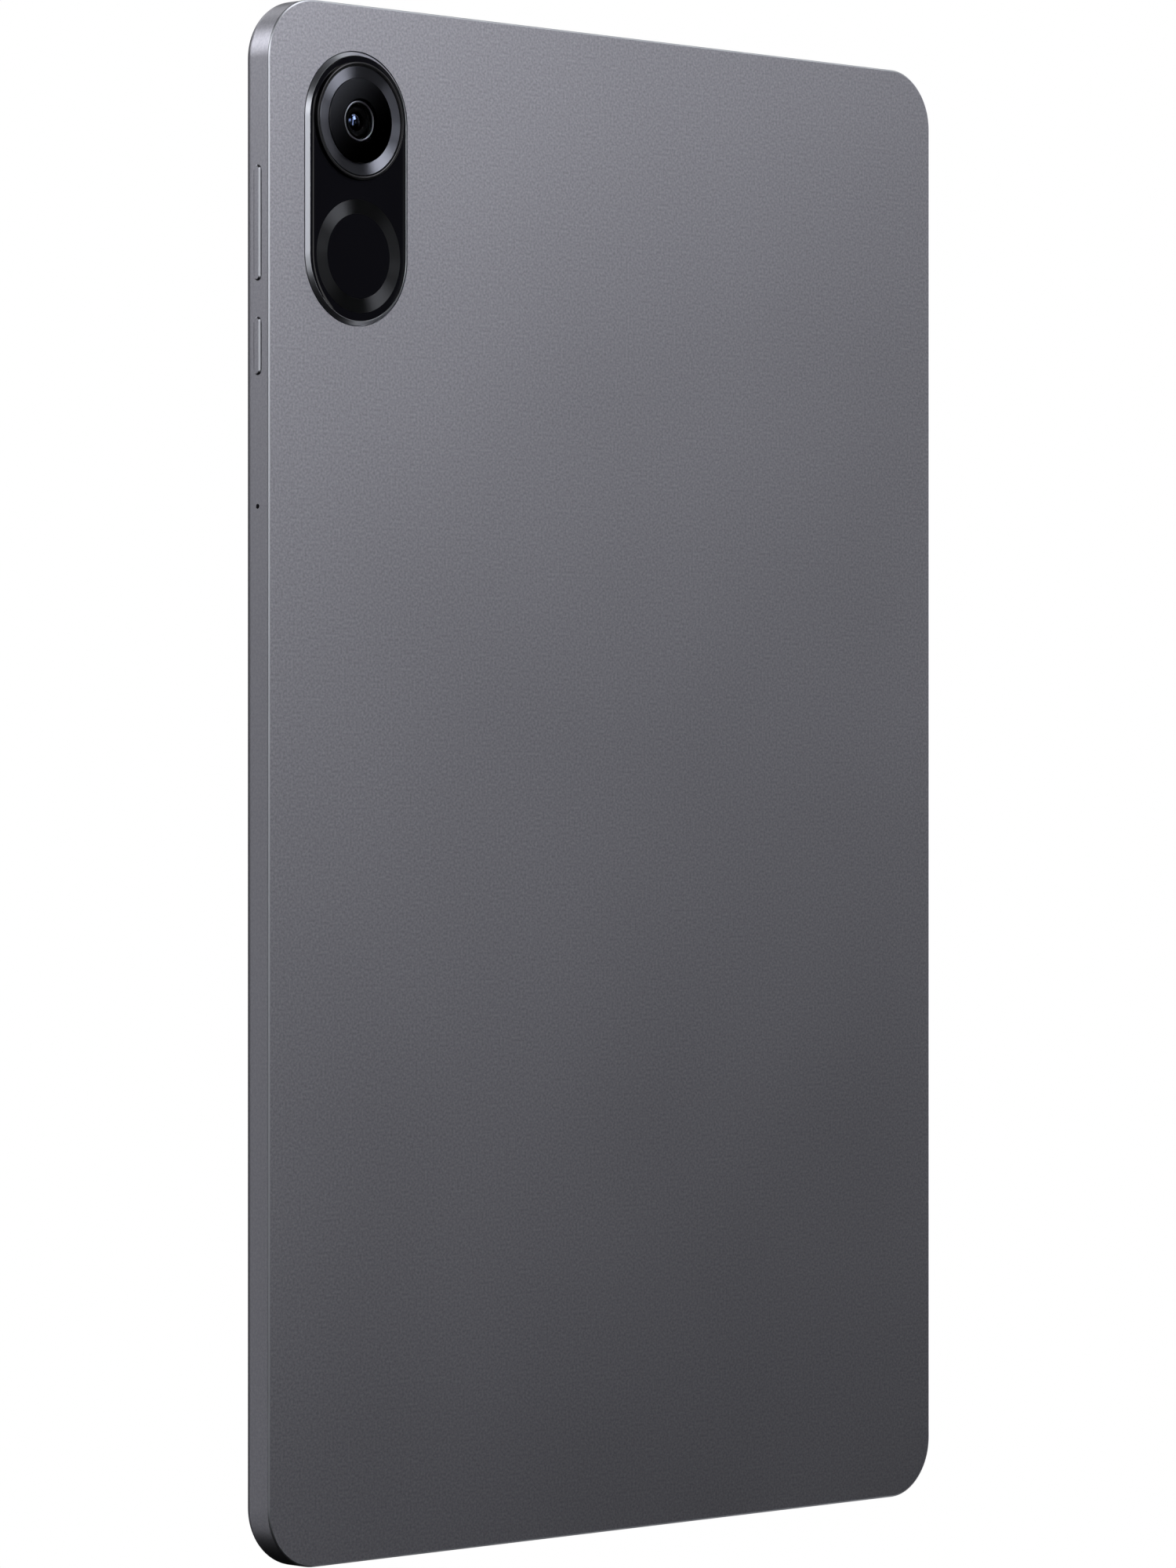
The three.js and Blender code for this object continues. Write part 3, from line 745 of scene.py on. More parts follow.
@dataclass(frozen=True)
class CircuitBoard(Finish):
    """Green solder mask over copper tracks, with pale component lands."""

    name: str = "circuit_board"
    mask: Colour = (0.008, 0.07, 0.035)
    track: Colour = (0.02, 0.14, 0.06)
    land: Colour = (0.55, 0.5, 0.32)
    land_radius: float = 0.16

    def fill(self, made: Recipe) -> None:
        """Makes tracks from a brick pattern and lands from cells.

        Args:
            made: the empty recipe.
        """
        made.set(Roughness=0.4)
        parts = made.parts(made.place())
        flat = made.feed(made.node("CombineXYZ"), X=parts["X"], Y=parts["Z"]).outputs[0]
        bricks = made.feed(made.node("TexBrick"), Vector=flat, Scale=0.8, Mortar_Size=0.05)
        cells = made.feed(made.node("TexVoronoi"), Vector=flat, Scale=0.55)
        lands = made.math("LESS_THAN", cells.outputs["Distance"], self.land_radius)
        tracks = bricks.outputs["Fac"]
        made.link(Base_Color=made.mix(lands, made.mix(tracks, self.mask, self.track), self.land))
        made.bump(tracks, 0.02)


@dataclass(frozen=True)
class Woven(Finish):
    """A fine woven mesh behind a grille."""

    name: str = "speaker_mesh"
    thread: Colour = (0.035, 0.035, 0.038)
    hollow: Colour = (0.003, 0.003, 0.003)
    pitch: float = 0.25

    def fill(self, made: Recipe) -> None:
        """Makes the weave from crossed waves along x and y.

        Args:
            made: the empty recipe.
        """
        made.set(Roughness=0.7)
        parts = made.parts(made.place(scale=math.tau / self.pitch))
        waves = [made.math("SINE", parts[axis]) for axis in "XY"]
        weave = made.math("MULTIPLY_ADD", made.math("MULTIPLY", *waves), 0.5, 0.5)
        made.link(Base_Color=made.mix(weave, self.hollow, self.thread))
        made.bump(weave, 0.08)


SANDBLASTED = Sandblasted()
POLISHED = Polished()
CUT_EDGE = Polished("cut_edge", roughness=0.36)
BLACK_GLASS = BlackGlass()
PLASTIC = Grained("black_plastic", (0.012, 0.012, 0.013), 0.5, grain=6.0)
ANODISED = Grained("black_anodised", (0.03, 0.03, 0.033), 0.3, 1.0, grain=8.0, relief=0.001)
DARK_METAL = Grained("dark_metal", (0.2, 0.2, 0.21), 0.3, 1.0, grain=6.0, contrast=0.1, relief=0.0005)
STEEL = Grained("sheet_steel", (0.5, 0.5, 0.49), 0.33, 1.0, grain=1.2, contrast=0.08)
FOAM = Grained("black_foam", (0.018, 0.018, 0.018), 0.95, grain=9.0, contrast=0.5, relief=0.05)
GOLD = Grained("gold_plating", (0.85, 0.6, 0.25), 0.28, 1.0, grain=5.0, contrast=0.06)
FLEX = Grained("flex_circuit", (0.3, 0.12, 0.02), 0.4, grain=0.8, contrast=0.3)
FOIL = Grained("battery_foil", (0.03, 0.03, 0.034), 0.38, 0.4, grain=0.15, contrast=0.4, relief=0.1)
FILM = Grained("light_guide", (0.75, 0.76, 0.76), 0.3, grain=2.0, contrast=0.05)
LENS = CoatedLens()
BAFFLE = Grained("lens_baffle", (0.004, 0.004, 0.0045), 0.55, grain=6.0, shine=0.06)
CLEAR = ClearGlass()
BOARD = CircuitBoard()
MESH = Woven()
SCREEN = ScreenGlass()


# --- finished pieces


@dataclass
class Piece:
    """One finished object of the tablet: where it rides and what it is made of."""

    name: str
    slot: str
    finishes: tuple[Finish, ...]
    body: str = ROOT
    weighted: bool = True

    def publish(self, shape: Shape, stands_for: str = "") -> None:
        """Turns a shape in millimetres into the finished object, with its place in its mesh.

        Args:
            shape: the shape, which is used up.
            stands_for: the CAD node that it replaces, if any.
        """
        bmesh.ops.scale(shape, verts=shape.verts, vec=(MM, MM, MM))
        mesh = bpy.data.meshes.new(self.name)
        shape.to_mesh(mesh)
        shape.free()
        for finish in self.finishes:
            mesh.materials.append(finish.material())
        mesh.polygons.foreach_set("use_smooth", [True] * len(mesh.polygons))
        mesh.set_sharp_from_angle(angle=SMOOTH_BELOW)
        made = bpy.data.objects.new(self.name, mesh)
        bpy.context.scene.collection.objects.link(made)
        if self.weighted:
            weighted = made.modifiers.new("flats", "WEIGHTED_NORMAL")
            weighted.keep_sharp = True
        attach(made, self.body)
        if stands_for:
            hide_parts(stands_for)
        log.info("%s: %d faces", self.name, len(mesh.polygons))


# --- the casing


@dataclass
class Housing:
    """The aluminium tray: flat back, polished edge, round front edge, and every opening in it."""

    corner: float = 10.5
    facet: Pair = (0.29, 0.16)
    break_edge: float = 0.09
    round_edge: float = 2.4
    wall: float = 1.5
    back_wall: float = 0.9
    island_gap: float = 0.2
    slot_width: float = 1.96
    key_gap: float = 0.2
    hole: float = 0.42
    mouth: Pair = (9.1, 3.3)
    slots: int = 5
    grille_slot: Pair = (3.6, 1.1)
    pitch: float = 5.0

    def __post_init__(self) -> None:
        """Reads the sizes that the frame holds."""
        self.box = Box.of("rear_housing")
        self.depth = Box.of("display_frame").high.y

    def tray(self) -> Shape:
        """Makes the outside with its pocket.

        Returns:
            The tray, before its openings are cut.
        """
        size = self.box.size
        width, depth = self.facet
        shape = slab(size.x, size.z, self.corner, depth, self.depth, steps=28)
        soften(shape, self.depth, self.round_edge, 14)
        flat = terrace(shape, face_at(shape, depth), [(width, depth)])
        for face in {f for e in flat.edges for f in e.link_faces} - {flat}:
            face.material_index = 1
        soften(shape, depth, self.break_edge, 3, material=1)
        lip = self.box.high.y
        everything = list(shape.verts) + list(shape.edges) + list(shape.faces)
        bmesh.ops.bisect_plane(
            shape, geom=everything, plane_co=(0, lip, 0), plane_no=(0, 1, 0), clear_outer=True
        )
        bmesh.ops.holes_fill(shape, edges=shape.edges, sides=0)
        bmesh.ops.recalc_face_normals(shape, faces=shape.faces)
        reach = self.round_edge - (self.depth - lip)
        inset = self.round_edge - math.sqrt(self.round_edge**2 - reach**2)
        terrace(shape, face_at(shape, lip), [(self.wall - inset, 0), (0, self.back_wall - lip)])
        return shape

    def side_tool(self, node: Box, width: float, length: float) -> Shape:
        """A round-ended tool through the left side at a node's place."""
        tool = slab(width, length, width / 2, -self.wall - SPARE, self.wall + SPARE, steps=10)
        return moved(faced(tool, Facing.LEFT), (self.box.low.x, node.middle.y, node.middle.z))

    def end_tool(self, x: float, y: float, size: Pair, end: float) -> Shape:
        """A round-ended tool through a short side; end is the height of that side."""
        tool = slab(*size, min(size) / 2, -self.wall - SPARE, self.wall + SPARE, steps=8)
        return moved(faced(tool, Facing.TOP if end > 0 else Facing.BOTTOM), (x, y, end))

    def tools(self) -> list[Shape]:
        """Makes every cutting tool of the housing.

        Returns:
            The tools, none of which overlap.
        """
        found = []
        for key in ("volume_key", "power_key"):
            flange = Box.of(key)
            length = flange.size.z - 2 * KeyShape.flange_reach + 2 * self.key_gap
            found.append(self.side_tool(flange, self.slot_width, length))
        found.append(self.side_tool(Box.of("side_microphone"), 2 * self.hole, 2 * self.hole))
        socket = Box.of("usb_c_shell").middle
        found.append(self.end_tool(socket.x, socket.y, self.mouth, self.box.low.z))
        for corner in ("top_left", "top_right", "bottom_left", "bottom_right"):
            mesh = Box.of("speaker_mesh_" + corner).middle
            end = self.box.high.z if mesh.z > 0 else self.box.low.z
            for x in row(self.slots, self.pitch):
                found.append(self.end_tool(mesh.x + x, mesh.y, self.grille_slot, end))
        island = Box.of("camera_cover_plate")
        grow = 2 * (CameraIsland.bezel_over_plate + self.island_gap)
        width, height = island.size.x + grow, island.size.z + grow
        opening = slab(width, height, width / 2, -2 * SPARE, self.back_wall + SPARE, steps=48)
        found.append(centred(opening, island.middle))
        return found

    def build(self) -> None:
        """Makes the housing."""
        piece = Piece("housing_shell", "sandblasted_aluminium", (SANDBLASTED, CUT_EDGE))
        piece.publish(cut(self.tray(), self.tools()), "rear_housing")


# --- the screen side


@dataclass
class ScreenSide:
    """The black rim, the cover glass, and what looks through it."""

    corner: float = 10.5
    round_edge: float = 2.4
    edge_steps: int = 4
    land: float = 0.1
    shelf: float = 5.85
    opening_gap: float = 0.3
    opening_corner: float = 1.5
    glass_inset: float = 2.55
    glass_bevel: float = 0.15
    camera_window: float = 1.7
    sensor_window: float = 0.9
    port_gap: float = 0.9
    window_gap: float = 0.03

    def rim(self) -> Shape:
        """Makes a picture frame whose top carries the body's round edge on.

        Returns:
            The frame.
        """
        box, body = Box.of("display_frame"), Box.of("rear_housing")
        inset = (body.size.x - box.size.x) / 2
        depth = box.high.y
        heights = []
        for i in range(self.edge_steps + 1):
            place = inset + (self.round_edge - inset) * i / self.edge_steps
            reach = self.round_edge - place
            heights.append((place, depth - self.round_edge + math.sqrt(self.round_edge**2 - reach**2)))
        shape = slab(box.size.x, box.size.z, self.corner - inset, box.low.y, heights[0][1], steps=24)
        rises = [(b[0] - a[0], b[1] - a[1]) for a, b in zip(heights, heights[1:])]
        face = terrace(shape, face_at(shape, heights[0][1]), rises)
        terrace(shape, face, [(self.land, 0), (0, self.shelf - depth)])
        back, front = box.low.y - SPARE, depth + SPARE
        lcd, grow = Box.of("lcd_panel").size, 2 * self.opening_gap
        window = slab(lcd.x + grow, lcd.z + grow, self.opening_corner, back, front, steps=4)
        return cut(shape, [window, *self.ports(back, front, self.port_gap)])

    def ports(self, back: float, front: float, grow: float = 0.0) -> list[Shape]:
        """Round plugs at the front camera and at the light sensor."""
        radii = {"front_camera_lens": self.camera_window, "light_sensor": self.sensor_window}
        return [plug(r + grow, back, front, Box.of(node).middle, 48) for node, r in radii.items()]

    def build(self) -> None:
        """Makes the rim, the glass and its two windows."""
        Piece("screen_rim", "black_plastic", (PLASTIC,)).publish(self.rim(), "display_frame")
        box = Box.of("cover_glass")
        back, front = box.low.y, box.high.y
        glass = slab(box.size.x, box.size.z, self.corner - self.glass_inset, back, front, steps=24)
        soften(glass, front, self.glass_bevel, 3)
        glass = cut(glass, self.ports(back - SPARE, front + SPARE, self.window_gap))
        Piece("screen_glass", "screen_glass", (SCREEN,)).publish(glass, "cover_glass")
        windows = (("front_camera_window", CLEAR), ("light_sensor_window", LENS))
        for (name, finish), window in zip(windows, self.ports(back, front)):
            Piece(name, "screen_glass", (finish,)).publish(window)


# --- the camera island


@dataclass
class CameraIsland:
    """The polished pill-shaped bezel, its black glass plate and the ring let into the lower half."""

    bezel_over_plate: float = 0.75
    flange_depth: float = 0.95
    chamfer: float = 0.6
    land: float = 0.05
    inner_break: float = 0.04
    seat: float = 0.1
    seat_width: float = 0.8
    pocket: float = 0.5
    throat: float = 10.4
    rim_gap: float = 0.03
    rim_slope: float = 7.0
    curve_steps: int = 6
    bore_gap: float = 0.08
    groove: float = 0.3
    groove_gap: float = 0.02

    def __post_init__(self) -> None:
        """Reads the pill's line and radii from the frame."""
        self.plate_box = Box.of("camera_cover_plate")
        self.bezel_box = Box.of("camera_bezel")
        self.turret = Box.of("lens_turret")
        self.ring_box = Box.of("lower_trim_ring")
        self.radius = self.plate_box.size.x / 2

    def pill(self, radius: float, back: float, front: float) -> Shape:
        """A pill-shaped slab about the island's line."""
        length = self.plate_box.size.z - 2 * self.radius
        return slab(2 * radius, length + 2 * radius, radius, back, front, steps=48)

    def bezel(self) -> Shape:
        """Makes the bezel, stepped up from its flange behind the wall.

        Returns:
            The bezel.
        """
        top = self.plate_box.low.y
        flange = self.bezel_box.size.x / 2
        outer = self.radius + self.bezel_over_plate
        shape = self.pill(flange, self.flange_depth, self.bezel_box.high.y)
        steps = [
            (flange - outer, 0),
            (0, self.flange_depth),
            (self.chamfer, self.chamfer),
            (self.land, 0),
            (self.inner_break, -self.inner_break),
            (0, self.inner_break + top - self.seat),
            (self.seat_width, 0),
            (0, self.seat - self.pocket),
        ]
        terrace(shape, face_at(shape, self.flange_depth), steps)
        throat = plug(self.throat, -2 * SPARE, 3 * SPARE, self.turret.middle, 96)
        return cut(centred(shape, self.plate_box.middle), [throat])

    def plate(self) -> Shape:
        """Makes the black glass plate, curved down to its rim, with its round hole and a ring's groove.

        Returns:
            The plate.
        """
        box = self.plate_box
        rim = self.radius - self.ring_box.size.x / 2 - self.rim_gap
        step = rim / self.curve_steps
        slopes = [self.rim_slope * (i + 0.5) / self.curve_steps for i in range(self.curve_steps)][::-1]
        rises = [step * math.tan(math.radians(slope)) for slope in slopes]
        edge = box.low.y + sum(rises)
        shape = self.pill(self.radius, edge, box.high.y)
        terrace(shape, face_at(shape, edge), [(step, rise) for rise in rises])
        hole = self.turret.size.x / 2 + self.bore_gap
        bore = plug(hole, -2 * SPARE, 2 * SPARE, self.turret.middle, 96)
        outer, inner = self.ring_box.size.x / 2 + self.groove_gap, LowerRing.inner - self.groove_gap
        groove = ring(outer, inner, -2 * SPARE, box.low.y + self.groove)
        return cut(centred(shape, box.middle), [bore, centred(groove, self.ring_box.middle)])

    def build(self) -> None:
        """Makes the bezel, the plate and the lower ring."""
        piece = Piece("island_bezel", "polished_aluminium", (POLISHED,))
        piece.publish(self.bezel(), "camera_bezel")
        piece = Piece("island_plate", "black_glass", (BLACK_GLASS,))
        piece.publish(self.plate(), "camera_cover_plate")
        LowerRing().build(self)


@dataclass
class LowerRing:
    """The spun ring in the lower half of the island, level with the glass."""

    inner: float = 7.29
    below: float = 0.004
    thickness: float = 0.25
    colour: Colour = (0.029, 0.03, 0.033)

    def build(self, island: CameraIsland) -> None:
        """Makes the ring in the plate's groove.

        Args:
            island: the island that holds the ring.
        """
        box = island.ring_box
        top = island.plate_box.low.y + self.below
        middle = (box.middle.x, 0.0, box.middle.z)
        finish = SpunMetal("lower_ring_metal", middle, self.colour)
        shape = ring(box.size.x / 2, self.inner, top, top + self.thickness, steps=160)
        piece = Piece("island_lower_ring", "spun_black_metal", (finish,))
        piece.publish(moved(shape, middle), "lower_trim_ring")


@dataclass
class LensTurret:
    """The raised turret: its wall, the spun ring, the lens glass and what lies under it."""

    bore: float = 9.42
    shoulder: float = 0.22
    throat: float = 3.8
    floor: Pair = (0.3, 0.85)
    rim_step: tuple[Pair, ...] = (
        (0.0, 0.2), (0.06, 0.12), (0.14, 0.12), (0.18, 0.02), (0.22, 0.0)
    )
    ring_colour: Colour = (0.12, 0.125, 0.15)
    ring_gap: float = 0.06
    ring_bevel: float = 0.06
    ring_depths: Pair = (-1.0, -0.4)
    ledge: float = 6.7
    window: float = 3.85
    glass_edge: float = 0.02
    mask_bore: float = 3.56
    crown_bore: float = 3.0
    crown_lip: float = 0.05
    bead: float = 0.19

    def __post_init__(self) -> None:
        """Reads the turret's place from the frame."""
        self.box = Box.of("lens_turret")
        self.centre = (self.box.middle.x, 0.0, self.box.middle.z)

    def cup(self) -> Shape:
        """Makes the wall with a rounded shoulder and a fine step inside its rim.

        Returns:
            The wall.
        """
        radius, top = self.box.size.x / 2, self.box.low.y
        floor, foot = self.floor
        profile = [(self.throat, floor), (self.bore, floor)]
        profile += [(self.bore + out, top + down) for out, down in self.rim_step]
        bend = self.shoulder
        profile += arc((radius - bend, top + bend), (bend, bend), (0, 90), 5)
        profile += [(radius, foot), (self.throat, foot)]
        return moved(turned(profile, 160), self.centre)

    def trim(self) -> Shape:
        """Makes the spun ring, with small chamfers on both edges.

        Returns:
            The ring.
        """
        box = Box.of("lens_trim_ring")
        outer, inner = box.size.x / 2, Box.of("lens_cover_glass").size.x / 2 + self.ring_gap
        top, bottom, bevel = box.low.y, box.high.y, self.ring_bevel
        inner_top, shelf = self.ring_depths
        profile = [(outer - bevel, top), (outer, top + bevel), (outer, bottom), (self.ledge, bottom)]
        profile += [(self.ledge, shelf), (inner, shelf)]
        profile += [(inner, inner_top + bevel), (inner + bevel, inner_top)]
        return moved(turned(profile, 160), self.centre)

    def build(self) -> None:
        """Makes every piece round the lens."""
        Piece("turret_wall", "black_anodised", (ANODISED,)).publish(self.cup(), "lens_turret")
        spun = SpunMetal("turret_ring_metal", self.centre, self.ring_colour)
        piece = Piece("turret_ring", "spun_black_metal", (spun,))
        piece.publish(self.trim(), "lens_trim_ring")
        self.glass()
        self.mask()
        self.crown_ring()

    def glass(self) -> None:
        """Makes the lens glass, printed black outside its clear window, with a painted sheen on the black
        part.
        """
        box = Box.of("lens_cover_glass")
        radius, window, edge = box.size.x / 2, self.window, self.glass_edge
        top, bottom = box.low.y, box.high.y
        profile = [(0, top), (window, top), (radius - edge, top), (radius, top + edge)]
        profile += [(radius, bottom), (window, bottom), (0, bottom)]
        shape = turned(profile, 128, closed=False)
        mark_inside(shape, window)
        # the black part carries a painted sheen, a painted reflection towards the upper left
        finishes = (LensGlass(self.centre, radius), CLEAR)
        piece = Piece("lens_glass", "black_glass", finishes)
        piece.publish(moved(shape, self.centre), "lens_cover_glass")

    def mask(self) -> None:
        """Makes the black mask under the glass."""
        box = Box.of("lens_mask")
        shape = moved(ring(box.size.x / 2, self.mask_bore, box.low.y, box.high.y, steps=96), self.centre)
        Piece("lens_mask_ring", "black_plastic", (BLACK_GLASS,)).publish(shape, "lens_mask")

    def crown_ring(self) -> None:
        """Makes the fine ring round the lens: a rounded bead, then a cone down to the barrel."""
        box = Box.of("lens_bright_ring")
        outer, bottom, bead = box.size.x / 2, box.high.y, self.bead
        profile = arc((outer - bead, box.low.y + bead), (bead, bead), (90, -90), 8)
        profile += [(self.crown_bore, bottom - self.crown_lip), (self.crown_bore, bottom), (outer, bottom)]
        shape = turned(profile, 96)
        mark_inside(shape, outer - 2 * bead)
        finishes = (DARK_METAL, BAFFLE)
        piece = Piece("lens_crown_ring", "polished_aluminium", finishes)
        piece.publish(moved(shape, self.centre), "lens_bright_ring")


@dataclass
class RearLens:
    """The focusing barrel with its stepped baffles, and its two lens elements."""

    body: str = "autofocus"
    bore: float = 1.7
    mouth: float = 2.25
    nose: float = 2.5
    shoulder: float = 0.6
    baffles: int = 4
    baffle_depth: float = 0.09
    baffle_edge: float = 0.02
    dome: float = 0.85

    def barrel(self) -> Shape:
        """Makes a black barrel whose mouth steps down to the lens.

        Returns:
            The barrel.
        """
        box = Box.of("autofocus_barrel")
        front, back, outer = box.low.y, box.high.y, box.size.x / 2
        step = (self.mouth - self.bore) / self.baffles
        profile = [(self.mouth, front)]
        for i in range(1, self.baffles + 1):
            radius, depth = self.mouth - step * i, front + self.baffle_depth * i
            profile += [(radius + step, depth - self.baffle_edge), (radius, depth)]
        profile += [(self.bore, back), (outer, back), (outer, self.shoulder)]
        profile += [(self.nose, self.shoulder), (self.nose, front)]
        return centred(turned(profile, 96), box.middle)

    def element(self, box: Box) -> Shape:
        """Makes a domed element that fills a node's box.

        Args:
            box: the node's box.

        Returns:
            The element.
        """
        radius, rise, back = box.size.x / 2, box.size.y * self.dome, box.high.y
        profile = arc((0, box.low.y + rise), (radius, rise), (0, 90), 8)
        profile += [(radius, back), (0, back)]
        return centred(turned(profile, 64, closed=False), box.middle)

    def build(self) -> None:
        """Makes the barrel and its elements."""
        piece = Piece("focus_barrel", "black_plastic", (BAFFLE,), self.body)
        piece.publish(self.barrel(), "autofocus_barrel")
        for node in ("front_lens", "rear_lens"):
            piece = Piece(node + "_element", "coated_lens", (LENS,), self.body)
            piece.publish(self.element(Box.of(node)), node)


# --- the keys


@dataclass
class KeyShape:
    """One side key: a round-ended cap with a polished bevel, on its inner flange."""

    node: str
    body: str
    flange_reach: float = 0.9
    width: float = 1.6
    bevel: float = 0.26
    flange: float = 0.4
    plunger: float = 0.3

    def build(self) -> None:
        """Makes the key in its slot."""
        box = Box.of(self.node)
        inner = box.high.x - self.plunger
        shape = slab(box.size.y, box.size.z, box.size.y / 2, -self.flange, 0, steps=10)
        inset = (box.size.y - self.width) / 2
        rise = inner - self.flange - box.low.x
        terrace(shape, face_at(shape, -self.flange), [(inset, 0), (0, rise)])
        soften(shape, -self.flange - rise, self.bevel, 1, material=1)
        moved(faced(shape, Facing.LEFT), (inner, box.middle.y, box.middle.z))
        piece = Piece(self.node + "_cap", "key_aluminium", (SANDBLASTED, POLISHED), self.body)
        piece.publish(shape, self.node)


# --- socket and interior


@dataclass
class Socket:
    """The USB-C socket: a rounded steel shell, its tongue and the gold contacts on it."""

    bore: float = 2.6
    land: float = 0.3
    lead_in: float = 0.05
    depth: float = 6.1
    tongue_corner: float = 0.3
    tongue_round: float = 0.12
    contacts: int = 12
    pitch: float = 0.5
    contact: Point = (0.3, 0.04, 3.6)
    contact_inset: float = 0.5

    def stand(self, shape: Shape, box: Box) -> Shape:
        """The same shape, turned downwards and hung from the top of a box."""
        return moved(faced(shape, Facing.BOTTOM), (box.middle.x, box.middle.y, box.high.z))

    def pads(self, tongue: Box) -> Shape:
        """Makes the contacts on both sides of the tongue.

        Args:
            tongue: the tongue's box.

        Returns:
            All contacts as one shape.
        """
        pads = []
        for side in (-1, 1):
            for x in row(self.contacts, self.pitch):
                pad = bmesh.new()
                bmesh.ops.create_cube(pad, size=1)
                bmesh.ops.scale(pad, verts=pad.verts, vec=self.contact)
                y = tongue.middle.y + side * tongue.size.y / 2
                z = tongue.low.z + self.contact_inset + self.contact[2] / 2
                pads.append(moved(pad, (tongue.middle.x + x, y, z)))
        return joined(pads)

    def build(self) -> None:
        """Makes the shell, the tongue and its contacts."""
        box, tongue = Box.of("usb_c_shell"), Box.of("usb_c_tongue")
        shape = slab(box.size.x, box.size.y, box.size.y / 2, -box.size.z, 0, steps=12)
        wall = (box.size.y - self.bore) / 2
        steps = [(wall * self.land, 0), (wall * (1 - self.land), -self.lead_in), (0, -self.depth)]
        terrace(shape, face_at(shape, -box.size.z), steps)
        piece = Piece("socket_shell", "sheet_steel", (STEEL,))
        piece.publish(self.stand(shape, box), "usb_c_shell")
        shape = slab(tongue.size.x, tongue.size.y, self.tongue_corner, -tongue.size.z, 0, steps=4)
        soften(shape, -tongue.size.z, self.tongue_round, 3)
        piece = Piece("socket_tongue", "black_plastic", (PLASTIC,))
        piece.publish(self.stand(shape, tongue), "usb_c_tongue")
        Piece("socket_contacts", "sheet_steel", (GOLD,), weighted=False).publish(self.pads(tongue))


@dataclass
class Interior:
    """The CAD nodes that keep their shape and get a finish."""

    def build(self) -> None:
        """Dresses each kept node by its record slot."""
        by_slot = {
            "sheet_steel": STEEL,
            "circuit_board": BOARD,
            "flex_circuit": FLEX,
            "battery_foil": FOIL,
            "light_guide": FILM,
            "black_foam": FOAM,
            "black_plastic": PLASTIC,
            "speaker_mesh": MESH,
            "coated_lens": LENS,
            "lcd_cell": BLACK_GLASS,
        }
        slots = {row["node"]: row["material_slot"] for row in frame["record"]["subparts"]}
        for name, node in frame["nodes"].items():
            if not node.hide_render:
                node.data.materials.clear()
                node.data.materials.append(by_slot[slots[name]].material())
                log.info("%s keeps its shape, finish %s", name, slots[name])


# --- the stage


@dataclass(frozen=True)
class Softbox:
    """A soft rectangular light that points at a target."""

    name: str
    place: Point
    size: tuple[float, float]
    power: float
    target: Point = (0.0, 0.0, 0.0)

    def build(self) -> None:
        """Hangs the light."""
        lamp = bpy.data.lights.new(self.name, "AREA")
        lamp.shape, lamp.size, lamp.size_y = "RECTANGLE", *self.size
        lamp.energy = self.power
        holder = bpy.data.objects.new(self.name, lamp)
        holder.visible_camera = False
        aim = Vector(self.target) - Vector(self.place)
        turn = aim.to_track_quat("-Z", "Y").to_matrix().to_4x4()
        holder.matrix_world = Matrix.Translation(self.place) @ turn
        bpy.context.scene.collection.objects.link(holder)


@dataclass
class Stage:
    """The white surroundings, the floor, the lights and the camera."""

    place: Point = (-0.7813, -0.7759, -0.0001)
    heading: float = 44.93
    lens: float = 141.23
    sensor: float = 36.0
    clip: Pair = (0.01, 50.0)
    floor_size: float = 12.0
    floor_gap: float = 0.0002

    def build(self) -> None:
        """Sets up everything that isn't the tablet."""
        scene = bpy.context.scene
        scene.view_settings.view_transform = "Standard"
        scene.view_settings.look = "None"
        world = bpy.data.worlds.new("white_surroundings")
        world.use_nodes = True
        world.node_tree.nodes["Background"].inputs["Color"].default_value = (1, 1, 1, 1)
        scene.world = world
        reach = world.cycles_visibility
        reach.diffuse = reach.glossy = reach.transmission = reach.scatter = False
        self.floor()
        for light in LIGHTS:
            light.build()
        self.camera()

    def floor(self) -> None:
        """Makes a white floor under the lower edge, which lights nothing."""
        shape = bmesh.new()
        bmesh.ops.create_grid(shape, x_segments=1, y_segments=1, size=self.floor_size / 2)
        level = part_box("rear_housing")[0].z - self.floor_gap
        bmesh.ops.translate(shape, verts=shape.verts, vec=(0, 0, level))
        mesh = bpy.data.meshes.new("floor")
        shape.to_mesh(mesh)
        shape.free()
        made = Recipe("floor_paint")
        made.set(Base_Color=(0.0, 0.0, 0.0), Specular_IOR_Level=0.0, Emission_Color=(1.0, 1.0, 1.0))
        made.set(Emission_Strength=1.0)
        mesh.materials.append(made.material)
        thing = bpy.data.objects.new("floor", mesh)
        thing.visible_glossy = thing.visible_diffuse = thing.visible_transmission = False
        thing.visible_shadow = False
        bpy.context.scene.collection.objects.link(thing)

    def camera(self) -> None:
        """Sets up a level camera, turned to the tablet's left rear."""
        lens = bpy.data.cameras.new("camera")
        lens.lens, lens.sensor_width = self.lens, self.sensor
        lens.clip_start, lens.clip_end = self.clip
        view = bpy.data.objects.new("camera", lens)
        view.location = self.place
        view.rotation_euler = (math.radians(90), 0, math.radians(-self.heading))
        bpy.context.scene.collection.objects.link(view)
        bpy.context.scene.camera = view


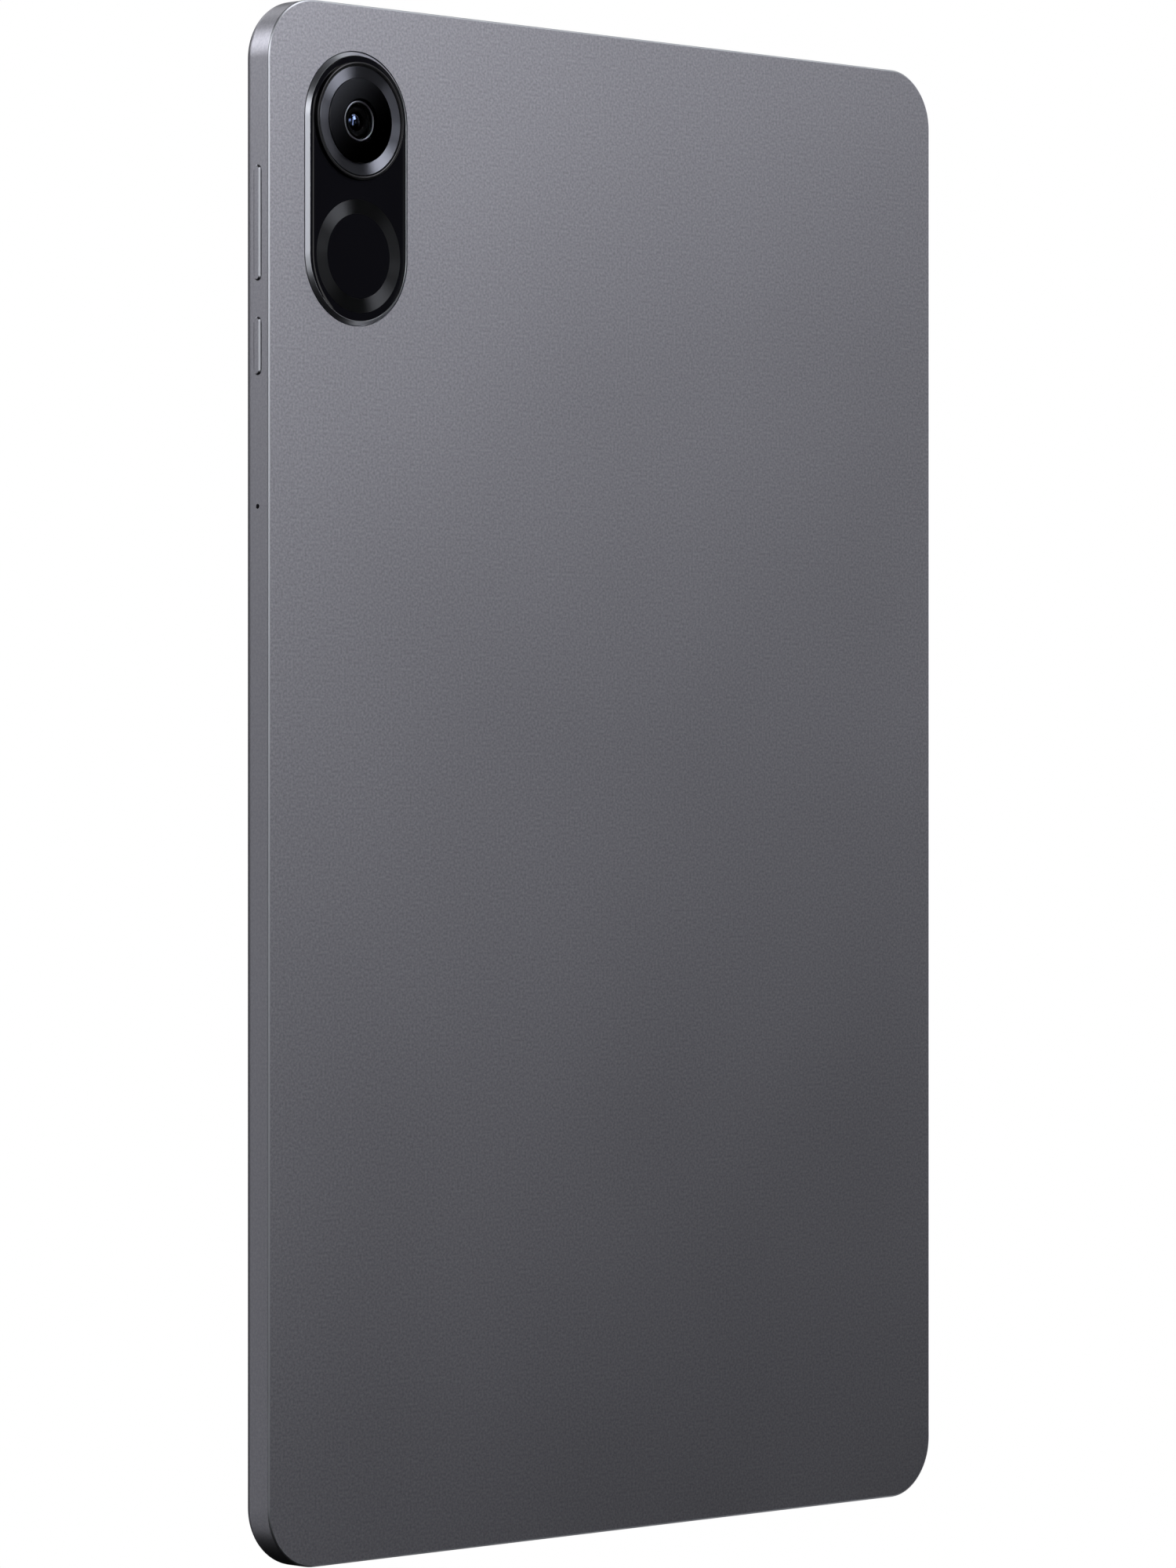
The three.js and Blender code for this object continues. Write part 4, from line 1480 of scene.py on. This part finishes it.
LIGHTS = (
    Softbox("key", (0.4, -0.9, 0.6), (0.4, 0.4), 5.3),
    Softbox("near_fill", (0.1, -0.25, 0.45), (0.2, 0.2), 0.45, (-0.05, 0.0, 0.1)),
    Softbox("left_wash", (0.02, -0.45, 0.09), (0.12, 0.4), 0.33, (-0.06, 0.0, 0.04)),
    Softbox("low_front", (-0.98, -0.93, 0.05), (0.3, 0.8), 0.85),
    Softbox("high_front", (-0.8, -0.75, 0.45), (0.35, 0.35), 0.9),
    Softbox("front_fill", (-0.5, -1.0, 0.4), (0.4, 0.4), 2.0),
    Softbox("front_edge", (-0.34, -1.2, -0.05), (0.3, 0.9), 0.15),
    Softbox("overhead", (0.42, -0.15, 1.0), (0.35, 0.35), 0.3),
    Softbox("side_level", (-0.8, 0.8, 0.0), (0.5, 0.5), 0.5),
    Softbox("side_high", (-0.7, 0.7, 0.6), (0.5, 0.5), 3.9),
    Softbox("side_low", (-0.6, 0.9, -0.5), (0.5, 0.5), 0.5),
    Softbox("top_rear", (0.15, 0.9, 0.8), (0.5, 0.4), 1.2),
    Softbox("right_edge", (1.0, -0.1, 0.2), (0.4, 0.8), 2.0),
    Softbox("right_key", (0.9, -0.5, 0.3), (0.5, 0.5), 0.08),
    Softbox("right_rear", (1.15, 0.35, 0.0), (0.5, 1.2), 2.0),
    Softbox("top_edge", (0.8, -0.3, 0.75), (0.4, 0.4), 0.6),
    Softbox("under", (0.8, -0.25, -0.75), (0.4, 0.4), 0.3),
    Softbox("lens_strip", (0.8, -1.26, 0.15), (0.07, 0.4), 0.1),
    Softbox("screen_side", (0.9, 0.9, 0.2), (0.4, 0.8), 4.0),
)


def main() -> None:
    """Builds the stage and then the tablet, piece by piece."""
    logging.basicConfig(level=logging.INFO, format="%(message)s")
    Stage().build()
    Housing().build()
    ScreenSide().build()
    CameraIsland().build()
    LensTurret().build()
    RearLens().build()
    KeyShape("volume_key", "volume_rocker").build()
    KeyShape("power_key", "power_button").build()
    Socket().build()
    Interior().build()


if __name__ == "__main__":
    main()
